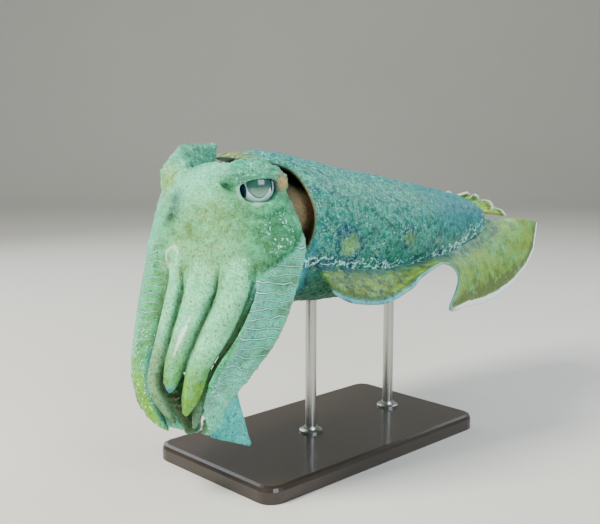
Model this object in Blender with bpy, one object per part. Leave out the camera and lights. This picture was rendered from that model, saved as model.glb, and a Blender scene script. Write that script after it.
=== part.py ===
# Giant Australian cuttlefish, Sepia apama, life size, hovering on a display stand.
# Metres. The animal is shaped in its own frame: X to its left, Y towards its tail, Z up, with the
# origin at the centre of the mantle's front edge. An empty then lifts it onto the stand.
import math
import random

import bmesh
import bpy
import numpy as np
from mathutils import Vector

# Where the animal hangs over the stand's foot
LIFT = Vector((0.0, -0.075, 0.208))

GAP = 0.0003              # between faces that meet

# Mantle, by distance behind its front edge
MANTLE_LENGTH = 0.303
MANTLE_HALF_WIDTH = [(-0.045, 0.052), (0.0, 0.060), (0.05, 0.066), (0.10, 0.069), (0.17, 0.062),
                     (0.24, 0.046), (0.285, 0.033), (0.303, 0.029)]
MANTLE_TOP = [(-0.045, 0.0595), (0.0, 0.0615), (0.03, 0.0560), (0.08, 0.0450), (0.11, 0.0400),
              (0.18, 0.0265), (0.243, 0.0135), (0.303, 0.000)]
MANTLE_BOTTOM = [(-0.045, -0.060), (0.0, -0.064), (0.057, -0.069), (0.12, -0.066), (0.20, -0.056),
                 (0.27, -0.044), (0.303, -0.037)]
MANTLE_SQUARENESS = 2.25
TAIL_ROUND = 0.050        # length over which the tail rounds off
RIM_Y = -0.009            # front edge, top and bottom
RIM_SIDE = 0.016          # how far the front edge sets back at the sides
COLLAR = 0.0145           # how far the front edge comes forward low on the sides
COLLAR_ANGLE = -0.45      # radians round the mantle from its side
COLLAR_HALF_ANGLE = 0.42
TONGUE_LENGTH = 0.031     # the front edge's tongue over the neck
TONGUE_HALF_ANGLE = 0.50  # radians round the mantle
NOTCH_DEPTH = 0.020       # how far the front edge sets back over the funnel
NOTCH_HALF_ANGLE = 0.42
RECESS_FLOOR = 0.020      # how deep the mantle's opening is modelled
WALL = 0.0045             # thickness of the mantle's edge

# Head and arms hang as one bundle: its axis, and its half sizes across, forward and back, by height
HEAD_TURN = math.radians(6.0)
AXIS_Y = [(-0.190, -0.092), (-0.160, -0.090), (-0.134, -0.086), (-0.111, -0.076), (-0.081, -0.060),
          (-0.057, -0.051), (-0.025, -0.044), (0.0, -0.041), (0.03, -0.040), (0.060, -0.039)]
HALF_ACROSS = [(-0.190, 0.012), (-0.175, 0.019), (-0.160, 0.029), (-0.134, 0.042), (-0.111, 0.055),
               (-0.081, 0.068), (-0.057, 0.073), (-0.025, 0.072), (0.0, 0.068), (0.03, 0.059),
               (0.045, 0.051), (0.060, 0.040)]
HALF_FORWARD = [(-0.190, 0.010), (-0.175, 0.016), (-0.160, 0.024), (-0.134, 0.034), (-0.111, 0.044),
                (-0.081, 0.052), (-0.057, 0.054), (-0.025, 0.052), (0.0, 0.047), (0.03, 0.040),
                (0.045, 0.034), (0.060, 0.022)]
HALF_BACK = [(-0.190, 0.010), (-0.175, 0.016), (-0.160, 0.023), (-0.134, 0.031), (-0.111, 0.038),
             (-0.081, 0.043), (-0.057, 0.041), (-0.025, 0.037), (0.0, 0.035), (0.03, 0.031),
             (0.045, 0.026), (0.060, 0.016)]
CHEEK = 0.009             # how far each cheek swells out, where round the head, and at what height
CHEEK_TURN = math.radians(107.0)
CHEEK_HALF_TURN = math.radians(27.0)
CHEEK_Z = -0.008
CHEEK_HALF_HEIGHT = 0.030
HEAD_TOP = 0.0528
HEAD_ROUND = 0.024        # height over which the crown of the head rounds off
HEAD_ROWS = 15
CROWN = -0.040            # where the arms begin
ELBOW = -0.095            # where each arm is divided

# Neck, inside the mantle's opening
NECK_HALF_WIDTH = 0.046
NECK_HALF_HEIGHT = 0.033
NECK_Z = 0.011
NECK_SIDES = 24
NECK_SECTIONS = [(-0.040, 0.85), (-0.020, 1.0), (0.004, 1.0)]    # place along the body, and size
NECK_END_SIZE = 0.93      # where it meets the floor of the opening

# Funnel: its route from the mantle's opening to its mouth, and its half width and half height there
FUNNEL_ROOT_Z = -0.0350
FUNNEL_ROUTE = [(0.0, 0.008, -0.0385), (0.0, -0.001, -0.049), (0.0, -0.006, -0.064),
                (0.0, -0.008, -0.078)]
FUNNEL_WIDE = (0.024, 0.010)
FUNNEL_TALL = (0.0100, 0.0075)
FUNNEL_WALL = 0.0022
FUNNEL_SIDES = 14

# Eyes
EYE_RADIUS = 0.0160
EYE_Z = 0.0372
EYE_TURN = math.radians(66.5)     # round the bundle, from the front
EYE_SINK = 0.0115                 # centre of the ball below the head's plain surface
EYE_HALF_LENGTH = 0.0150          # of the opening between the lids
EYE_HALF_HEIGHT = 0.0092
EYE_LIDS = (0.62, 1.25)           # how far the upper and lower lids open, in half heights
EYE_SLANT = math.radians(6.0)
LID_WIDTH = 0.0080                # from the opening to the foot of the lids' mound
LID_RISE = 0.0172                 # top of the lids' mound over the ball's centre
MOUND_LEVELS = (-0.5, 0.0, 0.35, 0.62, 0.82, 0.95)
MOUND_SIDES = 16
EYE_CUT = ((0.2, 0.80), (0.8, 0.97), (1.5, 1.16))    # levels in eye radii, and the opening's size there

# Flat papillae over the eyes: the right one is raised, the left one is a low hump. Each has its front
# and rear ends at its foot and at its top, as places along the body
FLAPS = {1.0: dict(foot=(-0.074, -0.022), top=(-0.056, -0.031), thick=0.022, rise=0.0115),
         -1.0: dict(foot=(-0.073, -0.020), top=(-0.053, -0.017), thick=0.009, rise=0.021)}
FLAP_X = 0.036
FLAP_Z = 0.046
FLAP_ROOT = 0.012         # depth of its root in the head
FLAP_LEAN = 0.15
FLAP_NARROW = 0.45        # how much thinner it is at its top
FLAP_SIDES = 10
FLAP_LEVELS = (0.0, 0.5, 0.85, 1.0)

# Arms: their edges round the bundle by height, as degrees from its front towards the animal's left,
# first the edge by the front. Then the thickness at the crown, how deep the arm lies under its
# neighbours, and whether it carries a broad web
ARMS = {
    "arm_1_left": dict(edges=[(-0.118, 12.0, 27.0), (-0.095, 5.8, 26.2), (-0.072, 5.6, 26.6),
                              (-0.040, 7.0, 33.2)],
                       thick=0.019, depth=0.0010, web=0.0),
    "arm_1_right": dict(edges=[(-0.143, 40.0, 26.0), (-0.132, 25.0, 9.0), (-0.118, 9.5, -6.5),
                               (-0.095, 5.2, -9.0), (-0.072, 5.0, -8.0), (-0.040, 6.4, -7.0)],
                        thick=0.018, depth=0.0010, web=0.0),
    "arm_2_left": dict(edges=[(-0.136, 37.0, 56.0), (-0.116, 31.5, 55.0), (-0.095, 26.8, 50.2),
                              (-0.072, 27.2, 54.5), (-0.040, 33.8, 59.7)],
                       thick=0.021, depth=0.0, web=0.0),
    "arm_2_right": dict(edges=[(-0.150, 31.0, 12.0), (-0.142, 18.0, -12.0), (-0.130, 4.0, -29.0),
                               (-0.116, -8.0, -44.0), (-0.095, -9.8, -51.0), (-0.072, -8.8, -53.0),
                               (-0.040, -7.8, -54.0)],
                        thick=0.021, depth=0.0, web=0.0),
    "arm_3_left": dict(edges=[(-0.150, 62.0, 81.0), (-0.136, 57.0, 76.5), (-0.095, 51.5, 77.0),
                              (-0.040, 61.0, 87.0)],
                       thick=0.016, depth=0.0054, web=0.0),
    "arm_3_right": dict(edges=[(-0.136, -49.0, -66.0), (-0.095, -52.5, -76.0), (-0.040, -55.0, -80.0)],
                        thick=0.016, depth=0.0054, web=0.0),
    "arm_4_left": dict(edges=[(-0.160, 108.0, 146.0), (-0.150, 90.0, 140.0), (-0.140, 74.0, 132.0),
                              (-0.120, 56.5, 124.0), (-0.095, 51.0, 131.0), (-0.072, 55.2, 135.0),
                              (-0.040, 60.5, 140.0)],
                       thick=0.021, depth=0.0, web=1.0),
    "arm_4_right": dict(edges=[(-0.165, -118.0, -206.0), (-0.154, -84.0, -194.0),
                               (-0.140, -58.0, -166.0), (-0.116, -46.0, -138.0),
                               (-0.095, -52.0, -130.0), (-0.040, -55.0, -130.0)],
                        thick=0.021, depth=0.0, web=1.0),
}
SIDES = {"left": 1.0, "right": -1.0}
WEB_THICK = 0.0030        # of the fourth arms' webs
WEB_ARM_PLACE = 0.42      # where the arm runs between its webs, and how wide it is, in half spreads
WEB_ARM_HALF = 0.42
ARM_CLEARANCE = 0.0035    # radians between an arm's side and its edge
ARM_ROUNDNESS = 0.80      # of its section: 1 is an ellipse
TIP_START = 0.72          # where the tip begins to close, along the arm
WEB_TIP_START = 0.84
TIP_BLUNT = 0.16

# Suckers, in two rows on the inner face of each arm
SUCKER_RADIUS = 0.0024
SUCKER_HEIGHT = 0.0022
SUCKER_ROWS = {"upper": 5, "lower": 7}
SUCKER_PLACE = {"arm": 0.36, "web": 0.20}    # of each row from the arm's middle, in half spreads
SUCKER_SIDES = 6

# Web at the end of the left fourth arm: from its root in the arm to its free edge, front to rear
FAN = [[(0.032, -0.068, -0.127), (0.032, -0.061, -0.126), (0.029, -0.056, -0.125)],
       [(0.0262, -0.073, -0.144), (0.037, -0.060, -0.144), (0.033, -0.053, -0.146)],
       [(0.0262, -0.080, -0.158), (0.040, -0.061, -0.165), (0.030, -0.039, -0.174)]]
FAN_THICK = (0.0040, 0.0014)

# Fins, each by the points of its free edge from its front to its rear corner. Both lists are written
# as on the left side
FIN_ROOT_ANGLE = [(0.0, -24.0), (0.76, -24.0), (0.91, -15.0), (1.0, 3.0)]   # degrees, along the fin
FIN_ROOT_START = 0.006
FIN_ROOT_END = 0.292
FIN_ROOT_WAY = {"left": [(0.0, 0.0), (0.42, 0.70), (1.0, 1.0)],     # place along the edge, and along
                "right": [(0.0, 0.0), (1.0, 1.0)]}                   # the root
FIN_SPLITS = (0.0, 0.34, 0.66, 1.0)
FIN_SPLIT_GAP = 0.0006    # half the gap between two lengths, along the fin
FIN_LENGTHS = ("front", "middle", "rear")
FIN_SINK = 0.006          # how far its root starts inside the mantle, before it is cut to meet it
FIN_RISE = 0.012          # slope of that root
FIN_SAG = 0.12            # how far the fin bellies out between root and edge
FIN_ROOT_THICK = 0.0046
FIN_EDGE_THICK = 0.0012
FIN_EDGE = {
    "left": [(0.076, 0.008, -0.049), (0.082, 0.018, -0.056), (0.086, 0.034, -0.060), (0.088, 0.056, -0.062),
             (0.0935, 0.080, -0.054), (0.097, 0.098, -0.041), (0.099, 0.118, -0.034), (0.096, 0.142, -0.044),
             (0.088, 0.156, -0.062), (0.085, 0.149, -0.078), (0.074, 0.190, -0.086), (0.059, 0.262, -0.088),
             (0.046, 0.318, -0.079), (0.032, 0.370, -0.056), (0.016, 0.402, -0.029)],
    "right": [(0.068, 0.003, -0.036), (0.086, 0.026, -0.038), (0.098, 0.056, -0.044), (0.100, 0.090, -0.054),
              (0.093, 0.124, -0.058), (0.093, 0.156, -0.044), (0.090, 0.194, -0.031), (0.080, 0.236, -0.016),
              (0.070, 0.278, -0.002), (0.056, 0.322, 0.005), (0.036, 0.362, 0.000), (0.014, 0.386, -0.020)],
}

# Stand
BASE = (0.150, 0.270, 0.014)
BASE_BEVEL = 0.004
ROD_RADIUS = 0.0050
ROD_Y = (0.058, 0.165)    # under the mantle, in the animal's frame


def follow(stations, at):
    """The value at a place along a short list of (place, value) pairs, on one smooth curve."""
    places = np.array([station[0] for station in stations], float)
    values = np.array([station[1] for station in stations], float)
    at = np.clip(np.asarray(at, float), places[0], places[-1])
    slopes = np.gradient(values, places, axis=0)
    index = np.clip(np.searchsorted(places, at) - 1, 0, len(places) - 2)
    width = places[index + 1] - places[index]
    t = (at - places[index]) / width
    if values.ndim > 1:
        t, width = t[..., None], width[..., None]
    return ((1 + 2 * t) * (1 - t) ** 2 * values[index] + t * (1 - t) ** 2 * width * slopes[index]
            + t ** 2 * (3 - 2 * t) * values[index + 1] + t ** 2 * (t - 1) * width * slopes[index + 1])


def along(points, t):
    """A point on the smooth curve through a list of points, t from 0 to 1."""
    points = np.array(points, float)
    steps = np.concatenate([[0.0], np.cumsum(np.linalg.norm(np.diff(points, axis=0), axis=1))])
    return follow(list(zip(steps / steps[-1], points)), t)


def bump(distance, width):
    return np.exp(-(np.asarray(distance, float) / width) ** 2)


def power(value, exponent):
    return np.sign(value) * np.abs(value) ** exponent


def material(name, color, roughness, metallic=0.0):
    made = bpy.data.materials.new(name)
    made.use_nodes = True
    shader = made.node_tree.nodes["Principled BSDF"]
    shader.inputs["Base Color"].default_value = (*color, 1.0)
    shader.inputs["Roughness"].default_value = roughness
    shader.inputs["Metallic"].default_value = metallic
    return made


def new_object(name, mesh, finish=None):
    """Closes a bmesh's seams and turns its faces out, and makes an object of it."""
    bmesh.ops.remove_doubles(mesh, verts=mesh.verts, dist=1e-6)
    bmesh.ops.recalc_face_normals(mesh, faces=mesh.faces)
    data = bpy.data.meshes.new(name)
    mesh.to_mesh(data)
    mesh.free()
    if data.polygons and sum((Vector(p.center).dot(p.normal)) * p.area for p in data.polygons) < 0:
        data.flip_normals()
    if finish:
        data.materials.append(finish)
    made = bpy.data.objects.new(name, data)
    bpy.context.collection.objects.link(made)
    return made


def bent_grid(name, columns, rows, surface, finish=None):
    """A grid bent onto surface(u, v). Its seam and its poles are welded where they meet."""
    mesh = bmesh.new()
    bmesh.ops.create_grid(mesh, x_segments=columns, y_segments=rows, size=1.0)
    u = np.array([(vert.co.x + 1.0) / 2.0 for vert in mesh.verts])
    v = np.array([(vert.co.y + 1.0) / 2.0 for vert in mesh.verts])
    for vert, place in zip(mesh.verts, surface(u, v)):
        vert.co = place
    return new_object(name, mesh, finish)


def fused(name, target, pieces, solver="EXACT"):
    """One Boolean union of a body with its closed pieces. Only its largest closed surface is kept."""
    group = bpy.data.collections.new(name + "_pieces")
    bpy.context.scene.collection.children.link(group)
    for piece in pieces:
        for owner in list(piece.users_collection):
            owner.objects.unlink(piece)
        group.objects.link(piece)
    union = target.modifiers.new("Fuse", "BOOLEAN")
    union.operation = "UNION"
    union.operand_type = "COLLECTION"
    union.collection = group
    union.solver = solver
    apply_modifiers(target)
    for piece in list(group.objects):
        bpy.data.objects.remove(piece)
    bpy.data.collections.remove(group)
    keep_largest(target)


def cut(target, cutters, solver="EXACT"):
    """Takes closed cutters out of a body."""
    for cutter in cutters:
        difference = target.modifiers.new("Cut", "BOOLEAN")
        difference.operation = "DIFFERENCE"
        difference.object = cutter
        difference.solver = solver
    apply_modifiers(target)
    keep_largest(target)


def apply_modifiers(target):
    graph = bpy.context.evaluated_depsgraph_get()
    baked = bpy.data.meshes.new_from_object(target.evaluated_get(graph))
    baked.name = target.name
    target.modifiers.clear()
    target.data = baked


def keep_largest(target):
    mesh = bmesh.new()
    mesh.from_mesh(target.data)
    unseen = set(mesh.verts)
    parts = []
    while unseen:
        part, queue = set(), [unseen.pop()]
        while queue:
            vert = queue.pop()
            part.add(vert)
            for edge in vert.link_edges:
                other = edge.other_vert(vert)
                if other in unseen:
                    unseen.discard(other)
                    queue.append(other)
        parts.append(part)
    parts.sort(key=lambda part: -box_size(part))
    for part in parts[1:]:
        bmesh.ops.delete(mesh, geom=list(part), context="VERTS")
    mesh.to_mesh(target.data)
    mesh.free()


def box_size(verts):
    places = np.array([vert.co for vert in verts])
    return float(np.prod(places.max(axis=0) - places.min(axis=0) + 1e-6))


def remove(objects):
    for item in objects:
        bpy.data.objects.remove(item)


# Mantle
def mantle_rim(angle):
    """Distance of the front edge behind the ring's centre, round the mantle from its left side."""
    tongue = TONGUE_LENGTH * np.exp(-(np.abs(wrapped(angle - math.pi / 2)) / TONGUE_HALF_ANGLE) ** 4)
    notch = NOTCH_DEPTH * bump(wrapped(angle + math.pi / 2), NOTCH_HALF_ANGLE)
    collar = COLLAR * bump(np.arctan2(np.sin(angle), np.abs(np.cos(angle))) - COLLAR_ANGLE,
                           COLLAR_HALF_ANGLE)
    return RIM_Y + RIM_SIDE * np.cos(angle) ** 2 - collar - tongue + notch


def wrapped(angle):
    return (angle + math.pi) % (2 * math.pi) - math.pi


def mantle_section(y, angle, grow=0.0, scale=1.0):
    """A point on the mantle's section at y, round from its left side over the top."""
    y = np.asarray(y, float)
    rounding = np.clip((y - MANTLE_LENGTH + TAIL_ROUND) / TAIL_ROUND, 0.0, 1.0)
    rounding = np.sqrt(np.clip(1.0 - rounding ** 2.4, 0.0, 1.0))
    top, bottom = follow(MANTLE_TOP, y), follow(MANTLE_BOTTOM, y)
    half_height = (top - bottom) / 2 * rounding * scale + grow
    half_width = follow(MANTLE_HALF_WIDTH, y) * rounding * scale + grow
    x = half_width * power(np.cos(angle), 2 / MANTLE_SQUARENESS)
    z = (top + bottom) / 2 + half_height * power(np.sin(angle), 2 / MANTLE_SQUARENESS)
    return np.stack([x, y + 0 * angle, z], axis=-1)


MANTLE_INSIDE = [(0.0, 0.0), (0.74, 0.0), (0.86, 0.12), (0.905, 0.85)]   # (scale, way to the edge)
MANTLE_OUTSIDE = (0.0, 0.016, 0.05, 0.10, 0.16, 0.23, 0.31, 0.39, 0.47, 0.55, 0.63, 0.71, 0.79,
                  0.86, 0.91, 0.95, 0.98, 1.0)


def mantle_surface(grow, opened):
    """The mantle, with the opening round the neck sunk into its front, or closed flat there."""
    rows = len(MANTLE_INSIDE) + len(MANTLE_OUTSIDE)

    def surface(u, v):
        row = np.rint(v * rows).astype(int)
        angle = u * 2 * math.pi
        rim = mantle_rim(angle) - grow
        places = np.zeros((len(u), 3))
        for index in range(rows + 1):
            chosen = row == index
            if index <= len(MANTLE_INSIDE):
                scale, forward = (MANTLE_INSIDE + [(0.955, 1.0)])[index]
                y = RECESS_FLOOR + (rim[chosen] + WALL / 2 - RECESS_FLOOR) * forward
                y = y if opened and forward < 1.0 else rim[chosen]
                places[chosen] = mantle_section(y, angle[chosen], 0.0, scale)
            else:
                way = MANTLE_OUTSIDE[index - len(MANTLE_INSIDE) - 1]
                y = rim[chosen] + (MANTLE_LENGTH + grow - rim[chosen]) * way
                places[chosen] = mantle_section(y, angle[chosen], grow * (way < 1.0))
        return places
    return rows, surface


def make_mantle(finish):
    rows, surface = mantle_surface(0.0, True)
    return bent_grid("mantle", 36, rows, surface, finish)


def mantle_cutter():
    """The mantle without its opening, a little larger all round, to cut roots that meet it."""
    rows, surface = mantle_surface(GAP, False)
    return bent_grid("mantle_cutter", 36, rows, surface)


# Head and arms
def bundle_point(z, turn, depth=0.0):
    """A point at a height and a turn round the head and arms (0 is their front), depth inside."""
    z, turn, depth = np.broadcast_arrays(np.asarray(z, float), turn, depth)
    across = follow(HALF_ACROSS, z) - depth
    forward = np.where(np.cos(turn) > 0, follow(HALF_FORWARD, z), follow(HALF_BACK, z)) - depth
    cheek = CHEEK * bump(np.abs(wrapped(turn)) - CHEEK_TURN, CHEEK_HALF_TURN)
    cheek = cheek * bump(z - CHEEK_Z, CHEEK_HALF_HEIGHT)
    side, ahead = (across + cheek) * np.sin(turn), (forward + cheek) * np.cos(turn)
    x = side * math.cos(HEAD_TURN) + ahead * math.sin(HEAD_TURN)
    y = side * math.sin(HEAD_TURN) - ahead * math.cos(HEAD_TURN) + follow(AXIS_Y, z)
    return np.stack([x, y, z], axis=-1)


def arm_span(spec, z):
    """Middle of an arm round the bundle, and its half spread towards its rear edge, in radians."""
    edges = np.radians(follow([(place, (front, rear)) for place, front, rear in spec["edges"]], z))
    return edges.mean(axis=-1), (edges[..., 1] - edges[..., 0]) / 2


def arm_tip(spec):
    return spec["edges"][0][0]


def crown_depth(turn, z):
    """How far the head's skin sinks towards the outlines of the arms that grow from it."""
    depth = np.full_like(turn, 0.30 * ARMS["arm_1_left"]["thick"])
    for spec in ARMS.values():
        middle, half = arm_span(spec, CROWN)
        across = wrapped(turn - middle) / half
        outer = arm_depths(spec, 0.0, across)[0]
        depth = np.where(np.abs(across) < 1.0, np.minimum(depth, outer), depth)
    return depth * np.clip((0.010 - z) / (0.010 - CROWN), 0.0, 1.0) ** 1.6


def head_surface(u, v):
    rows = HEAD_ROWS
    row = np.rint(v * rows)
    turn = u * 2 * math.pi
    way = np.clip(row - 1, 0, rows - 1) / (rows - 1)
    z = CROWN + (HEAD_TOP - CROWN) * (1 - (1 - way) ** 1.25)
    rounding = np.clip((z - HEAD_TOP + HEAD_ROUND) / HEAD_ROUND, 0.0, 1.0)
    shrink = np.where(row == 0, 0.0, np.sqrt(np.clip(1.0 - rounding ** 2.2, 0.0, 1.0)))
    outer = bundle_point(z, turn, crown_depth(turn, z))
    middle = np.stack([0 * z, follow(AXIS_Y, z), z], axis=-1)
    return middle + (outer - middle) * shrink[:, None]


def eye_frame(sign):
    """Centre of an eyeball, and the directions out of it, along its opening and up across it."""
    turn = sign * EYE_TURN
    place = bundle_point(EYE_Z, turn)
    ahead = bundle_point(EYE_Z, turn - sign * 0.05) - bundle_point(EYE_Z, turn + sign * 0.05)
    ahead = Vector(ahead).normalized()
    up = Vector((0, 0, 1))
    out = (ahead.cross(up) * sign).normalized()
    if out.dot(Vector(place) - Vector((0, place[1], EYE_Z))) < 0:
        out = -out
    centre = Vector(place) - out * EYE_SINK
    slant_along = (ahead * math.cos(EYE_SLANT) - up * math.sin(EYE_SLANT)).normalized()
    slant_up = (up * math.cos(EYE_SLANT) + ahead * math.sin(EYE_SLANT)).normalized()
    return centre, out, slant_along, slant_up


def ball(name, centre, radius, columns, rows, finish=None):
    def surface(u, v):
        turn, rise = u * 2 * math.pi, (v - 0.5) * math.pi
        return np.array(centre) + radius * np.stack(
            [np.cos(rise) * np.cos(turn), np.cos(rise) * np.sin(turn), np.sin(rise)], axis=-1)
    return bent_grid(name, columns, rows, surface, finish)


def shaped_tube(name, columns, rings, finish=None):
    """A closed loft through rings of points, each an array of columns points."""
    stack = [np.repeat(rings[0].mean(axis=0)[None], columns, axis=0), *rings,
             np.repeat(rings[-1].mean(axis=0)[None], columns, axis=0)]

    def surface(u, v):
        row = np.rint(v * (len(stack) - 1)).astype(int)
        column = np.rint(u * columns).astype(int) % columns
        return np.array(stack)[row, column]
    return bent_grid(name, columns, len(stack) - 1, surface, finish)


def eye_ring(sign, level, lengths, heights):
    """Points round the line of sight, at a level out of the eyeball's centre."""
    centre, out, slant_along, slant_up = eye_frame(sign)
    return (np.array(centre + out * level) + np.outer(lengths, slant_along) + np.outer(heights, slant_up))


def eye_mound(sign):
    """The raised rim that carries the lids: a low dome set in the head."""
    turn = np.linspace(0, 2 * math.pi, MOUND_SIDES, endpoint=False)
    levels = [(level, math.sqrt(1.0 - max(level, 0.0) ** 2)) for level in MOUND_LEVELS]
    rings = [eye_ring(sign, level * LID_RISE, np.cos(turn) * (EYE_HALF_LENGTH + LID_WIDTH) * size,
                      np.sin(turn) * (EYE_HALF_HEIGHT + LID_WIDTH) * size) for level, size in levels]
    return shaped_tube("mound", MOUND_SIDES, rings)


def eye_opening(sign):
    """The opening between the lids, as a cutter along the line of sight."""
    turn = np.linspace(0, 2 * math.pi, MOUND_SIDES, endpoint=False)
    rise = np.sin(turn) * np.where(np.sin(turn) > 0, *EYE_LIDS)
    rings = [eye_ring(sign, level * EYE_RADIUS, np.cos(turn) * EYE_HALF_LENGTH * size,
                      rise * EYE_HALF_HEIGHT * size) for level, size in EYE_CUT]
    return shaped_tube("opening", MOUND_SIDES, rings)


def make_neck():
    turn = np.linspace(0, 2 * math.pi, NECK_SIDES, endpoint=False)
    rings = []
    for y, size in [*NECK_SECTIONS, (RECESS_FLOOR - GAP, NECK_END_SIZE)]:
        rings.append(np.stack([np.cos(turn) * NECK_HALF_WIDTH * size, y + 0 * turn,
                               NECK_Z + np.sin(turn) * NECK_HALF_HEIGHT * size], axis=-1))
    return shaped_tube("neck", NECK_SIDES, rings)


def brow_flap(sign, spec):
    """A flat papilla that stands fore and aft over the eye: a leaf with its root sunk in the head."""
    turn = np.linspace(0, 2 * math.pi, FLAP_SIDES, endpoint=False)
    rings = []
    for level in (-FLAP_ROOT / spec["rise"], *FLAP_LEVELS):
        way = max(level, 0.0)
        height = level * spec["rise"]
        front, rear = (foot + (top - foot) * way ** 1.5 for foot, top in zip(spec["foot"], spec["top"]))
        thick = spec["thick"] * (1.0 - FLAP_NARROW * way ** 2)
        rings.append(np.stack([sign * (FLAP_X + height * FLAP_LEAN + np.sin(turn) * thick / 2),
                               (front + rear) / 2 + np.cos(turn) * (rear - front) / 2,
                               FLAP_Z + height + 0 * turn], axis=-1))
    return shaped_tube("flap", FLAP_SIDES, rings)


def make_head(finish):
    head = bent_grid("head", 40, HEAD_ROWS, head_surface, finish)
    pieces = [make_neck()]
    for sign in SIDES.values():
        pieces.append(eye_mound(sign))
    for sign in SIDES.values():
        pieces.append(brow_flap(sign, FLAPS[sign]))
    fused("head", head, pieces, "MANIFOLD")
    cutters = []
    for sign in SIDES.values():
        centre = eye_frame(sign)[0]
        cutters.append(ball("socket", centre, EYE_RADIUS + GAP, 18, 10))
        cutters.append(eye_opening(sign))
    cut(head, cutters, "MANIFOLD")
    remove(cutters)
    return head


def make_eye(side, sign, finish):
    return ball("eye_" + side, eye_frame(sign)[0], EYE_RADIUS, 18, 10, finish)


def make_funnel(finish):
    """The siphon: an open tube that leaves the mantle under the neck and turns down."""
    route = [(0.0, RECESS_FLOOR - GAP, FUNNEL_ROOT_Z), *FUNNEL_ROUTE]
    turn = np.linspace(0, 2 * math.pi, FUNNEL_SIDES, endpoint=False)
    rings = []
    for inside in (False, True):
        steps = np.linspace(0.0, 1.0, 8)
        for t in (steps if not inside else steps[:2:-1]):
            place = along(route, t)
            ahead = Vector(along(route, min(t + 0.02, 1.0)) - along(route, max(t - 0.02, 0.0))).normalized()
            if t == 0.0:
                ahead = Vector((0, -1, 0))
            across = Vector((1, 0, 0))
            up = across.cross(ahead).normalized()
            wide = FUNNEL_WIDE[0] + (FUNNEL_WIDE[1] - FUNNEL_WIDE[0]) * t ** 0.7 - FUNNEL_WALL * inside
            tall = FUNNEL_TALL[0] + (FUNNEL_TALL[1] - FUNNEL_TALL[0]) * t - FUNNEL_WALL * inside
            rings.append(np.array(place)[None] + np.outer(np.cos(turn) * wide, across)
                         + np.outer(np.sin(turn) * tall, up))
    return shaped_tube("funnel", FUNNEL_SIDES, rings, finish)


def arm_depths(spec, t, across):
    """Depth of the arm's outer and inner faces below the bundle's surface, at a place across it."""
    thick = spec["thick"] * (1.0 - 0.45 * t)
    if spec["web"]:
        body = np.exp(-((across - WEB_ARM_PLACE) / WEB_ARM_HALF) ** 4)
        outer = 0.0006 + 0.0030 * (1 - body) * (across > WEB_ARM_PLACE)
        return outer, outer + WEB_THICK + (thick - WEB_THICK) * body
    edge = np.abs(across) ** 2.6
    return spec["depth"] + 0.30 * thick * edge, spec["depth"] + thick * (1.0 - 0.10 * edge)


def arm_surface(spec, top, bottom):
    """One length of an arm. Its section follows the bundle, and its tip closes in a round point."""
    columns, rows = 12, 8
    tip = arm_tip(spec)
    start = WEB_TIP_START if spec["web"] else TIP_START

    def surface(u, v):
        row = np.rint(v * rows)
        ends = (row == 0) | (row == rows)
        way = np.clip(row - 1, 0, rows - 2) / (rows - 2)
        z = top + (bottom - top) * (np.sin(way * math.pi / 2) if bottom == tip else way)
        t = np.clip((CROWN - z) / (CROWN - tip), 0.0, 1.0)
        closing = np.sqrt(1.0 - np.clip((t - start) / (1.0 - start), 0.0, 1.0) ** 2.0)
        closing = np.maximum(closing, TIP_BLUNT)
        section = u * 2 * math.pi
        across = power(np.cos(section), ARM_ROUNDNESS)
        outer, inner = arm_depths(spec, t, across * ~ends)
        half = (inner - outer) / 2 * closing * ~ends
        depth = (outer + inner) / 2 + half * power(-np.sin(section), ARM_ROUNDNESS)
        middle, spread = arm_span(spec, z)
        spread -= np.sign(spread) * ARM_CLEARANCE
        return bundle_point(z, middle + spread * across * closing * ~ends, depth)
    return columns, rows, surface


def sucker(place, inward, radius, height):
    """A low cup with its root sunk in the arm."""
    side = inward.cross(Vector((0, 0, 1))).normalized()
    up = side.cross(inward).normalized()
    turn = np.linspace(0, 2 * math.pi, SUCKER_SIDES, endpoint=False)
    rings = []
    for level, size in ((-1.2, 0.7), (1.0, 1.0)):
        rings.append(np.array(place) + np.array(inward) * level * height
                     + np.outer(np.cos(turn) * radius * size, side)
                     + np.outer(np.sin(turn) * radius * size, up))
    return shaped_tube("sucker", SUCKER_SIDES, rings)


def arm_suckers(spec, top, bottom, count):
    cups = []
    draw = random.Random(count + int(1000 * spec["thick"]))
    for index in range(count):
        z = top + (bottom - top) * (index + 0.6) / (count + 0.25)
        t = (CROWN - z) / (CROWN - arm_tip(spec))
        for row in (-1, 1):
            size = (1.0 - 0.55 * t) * draw.uniform(0.92, 1.08)
            across = row * SUCKER_PLACE["web" if spec["web"] else "arm"] + spec["web"] * WEB_ARM_PLACE
            middle, spread = arm_span(spec, z)
            inner = float(arm_depths(spec, t, np.float64(across))[1])
            place = Vector(bundle_point(z, middle + spread * across, inner))
            inward = Vector((0, float(follow(AXIS_Y, z)), z)) - place
            cups.append(sucker(place, inward.normalized(), SUCKER_RADIUS * size, SUCKER_HEIGHT * size))
    return cups


def make_arm(kind, finish):
    spec = ARMS[kind]
    made = []
    for length, top, bottom in (("upper", CROWN - GAP, ELBOW + GAP / 2),
                                ("lower", ELBOW - GAP / 2, arm_tip(spec))):
        name = f"{kind}_{length}"
        columns, rows, surface = arm_surface(spec, top, bottom)
        arm = bent_grid(name, columns, rows, surface, finish)
        pieces = arm_suckers(spec, top, bottom, SUCKER_ROWS[length])
        if name == "arm_4_left_lower":
            pieces.append(make_fan())
        fused(name, arm, pieces)
        made.append(arm)
    return made


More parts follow.
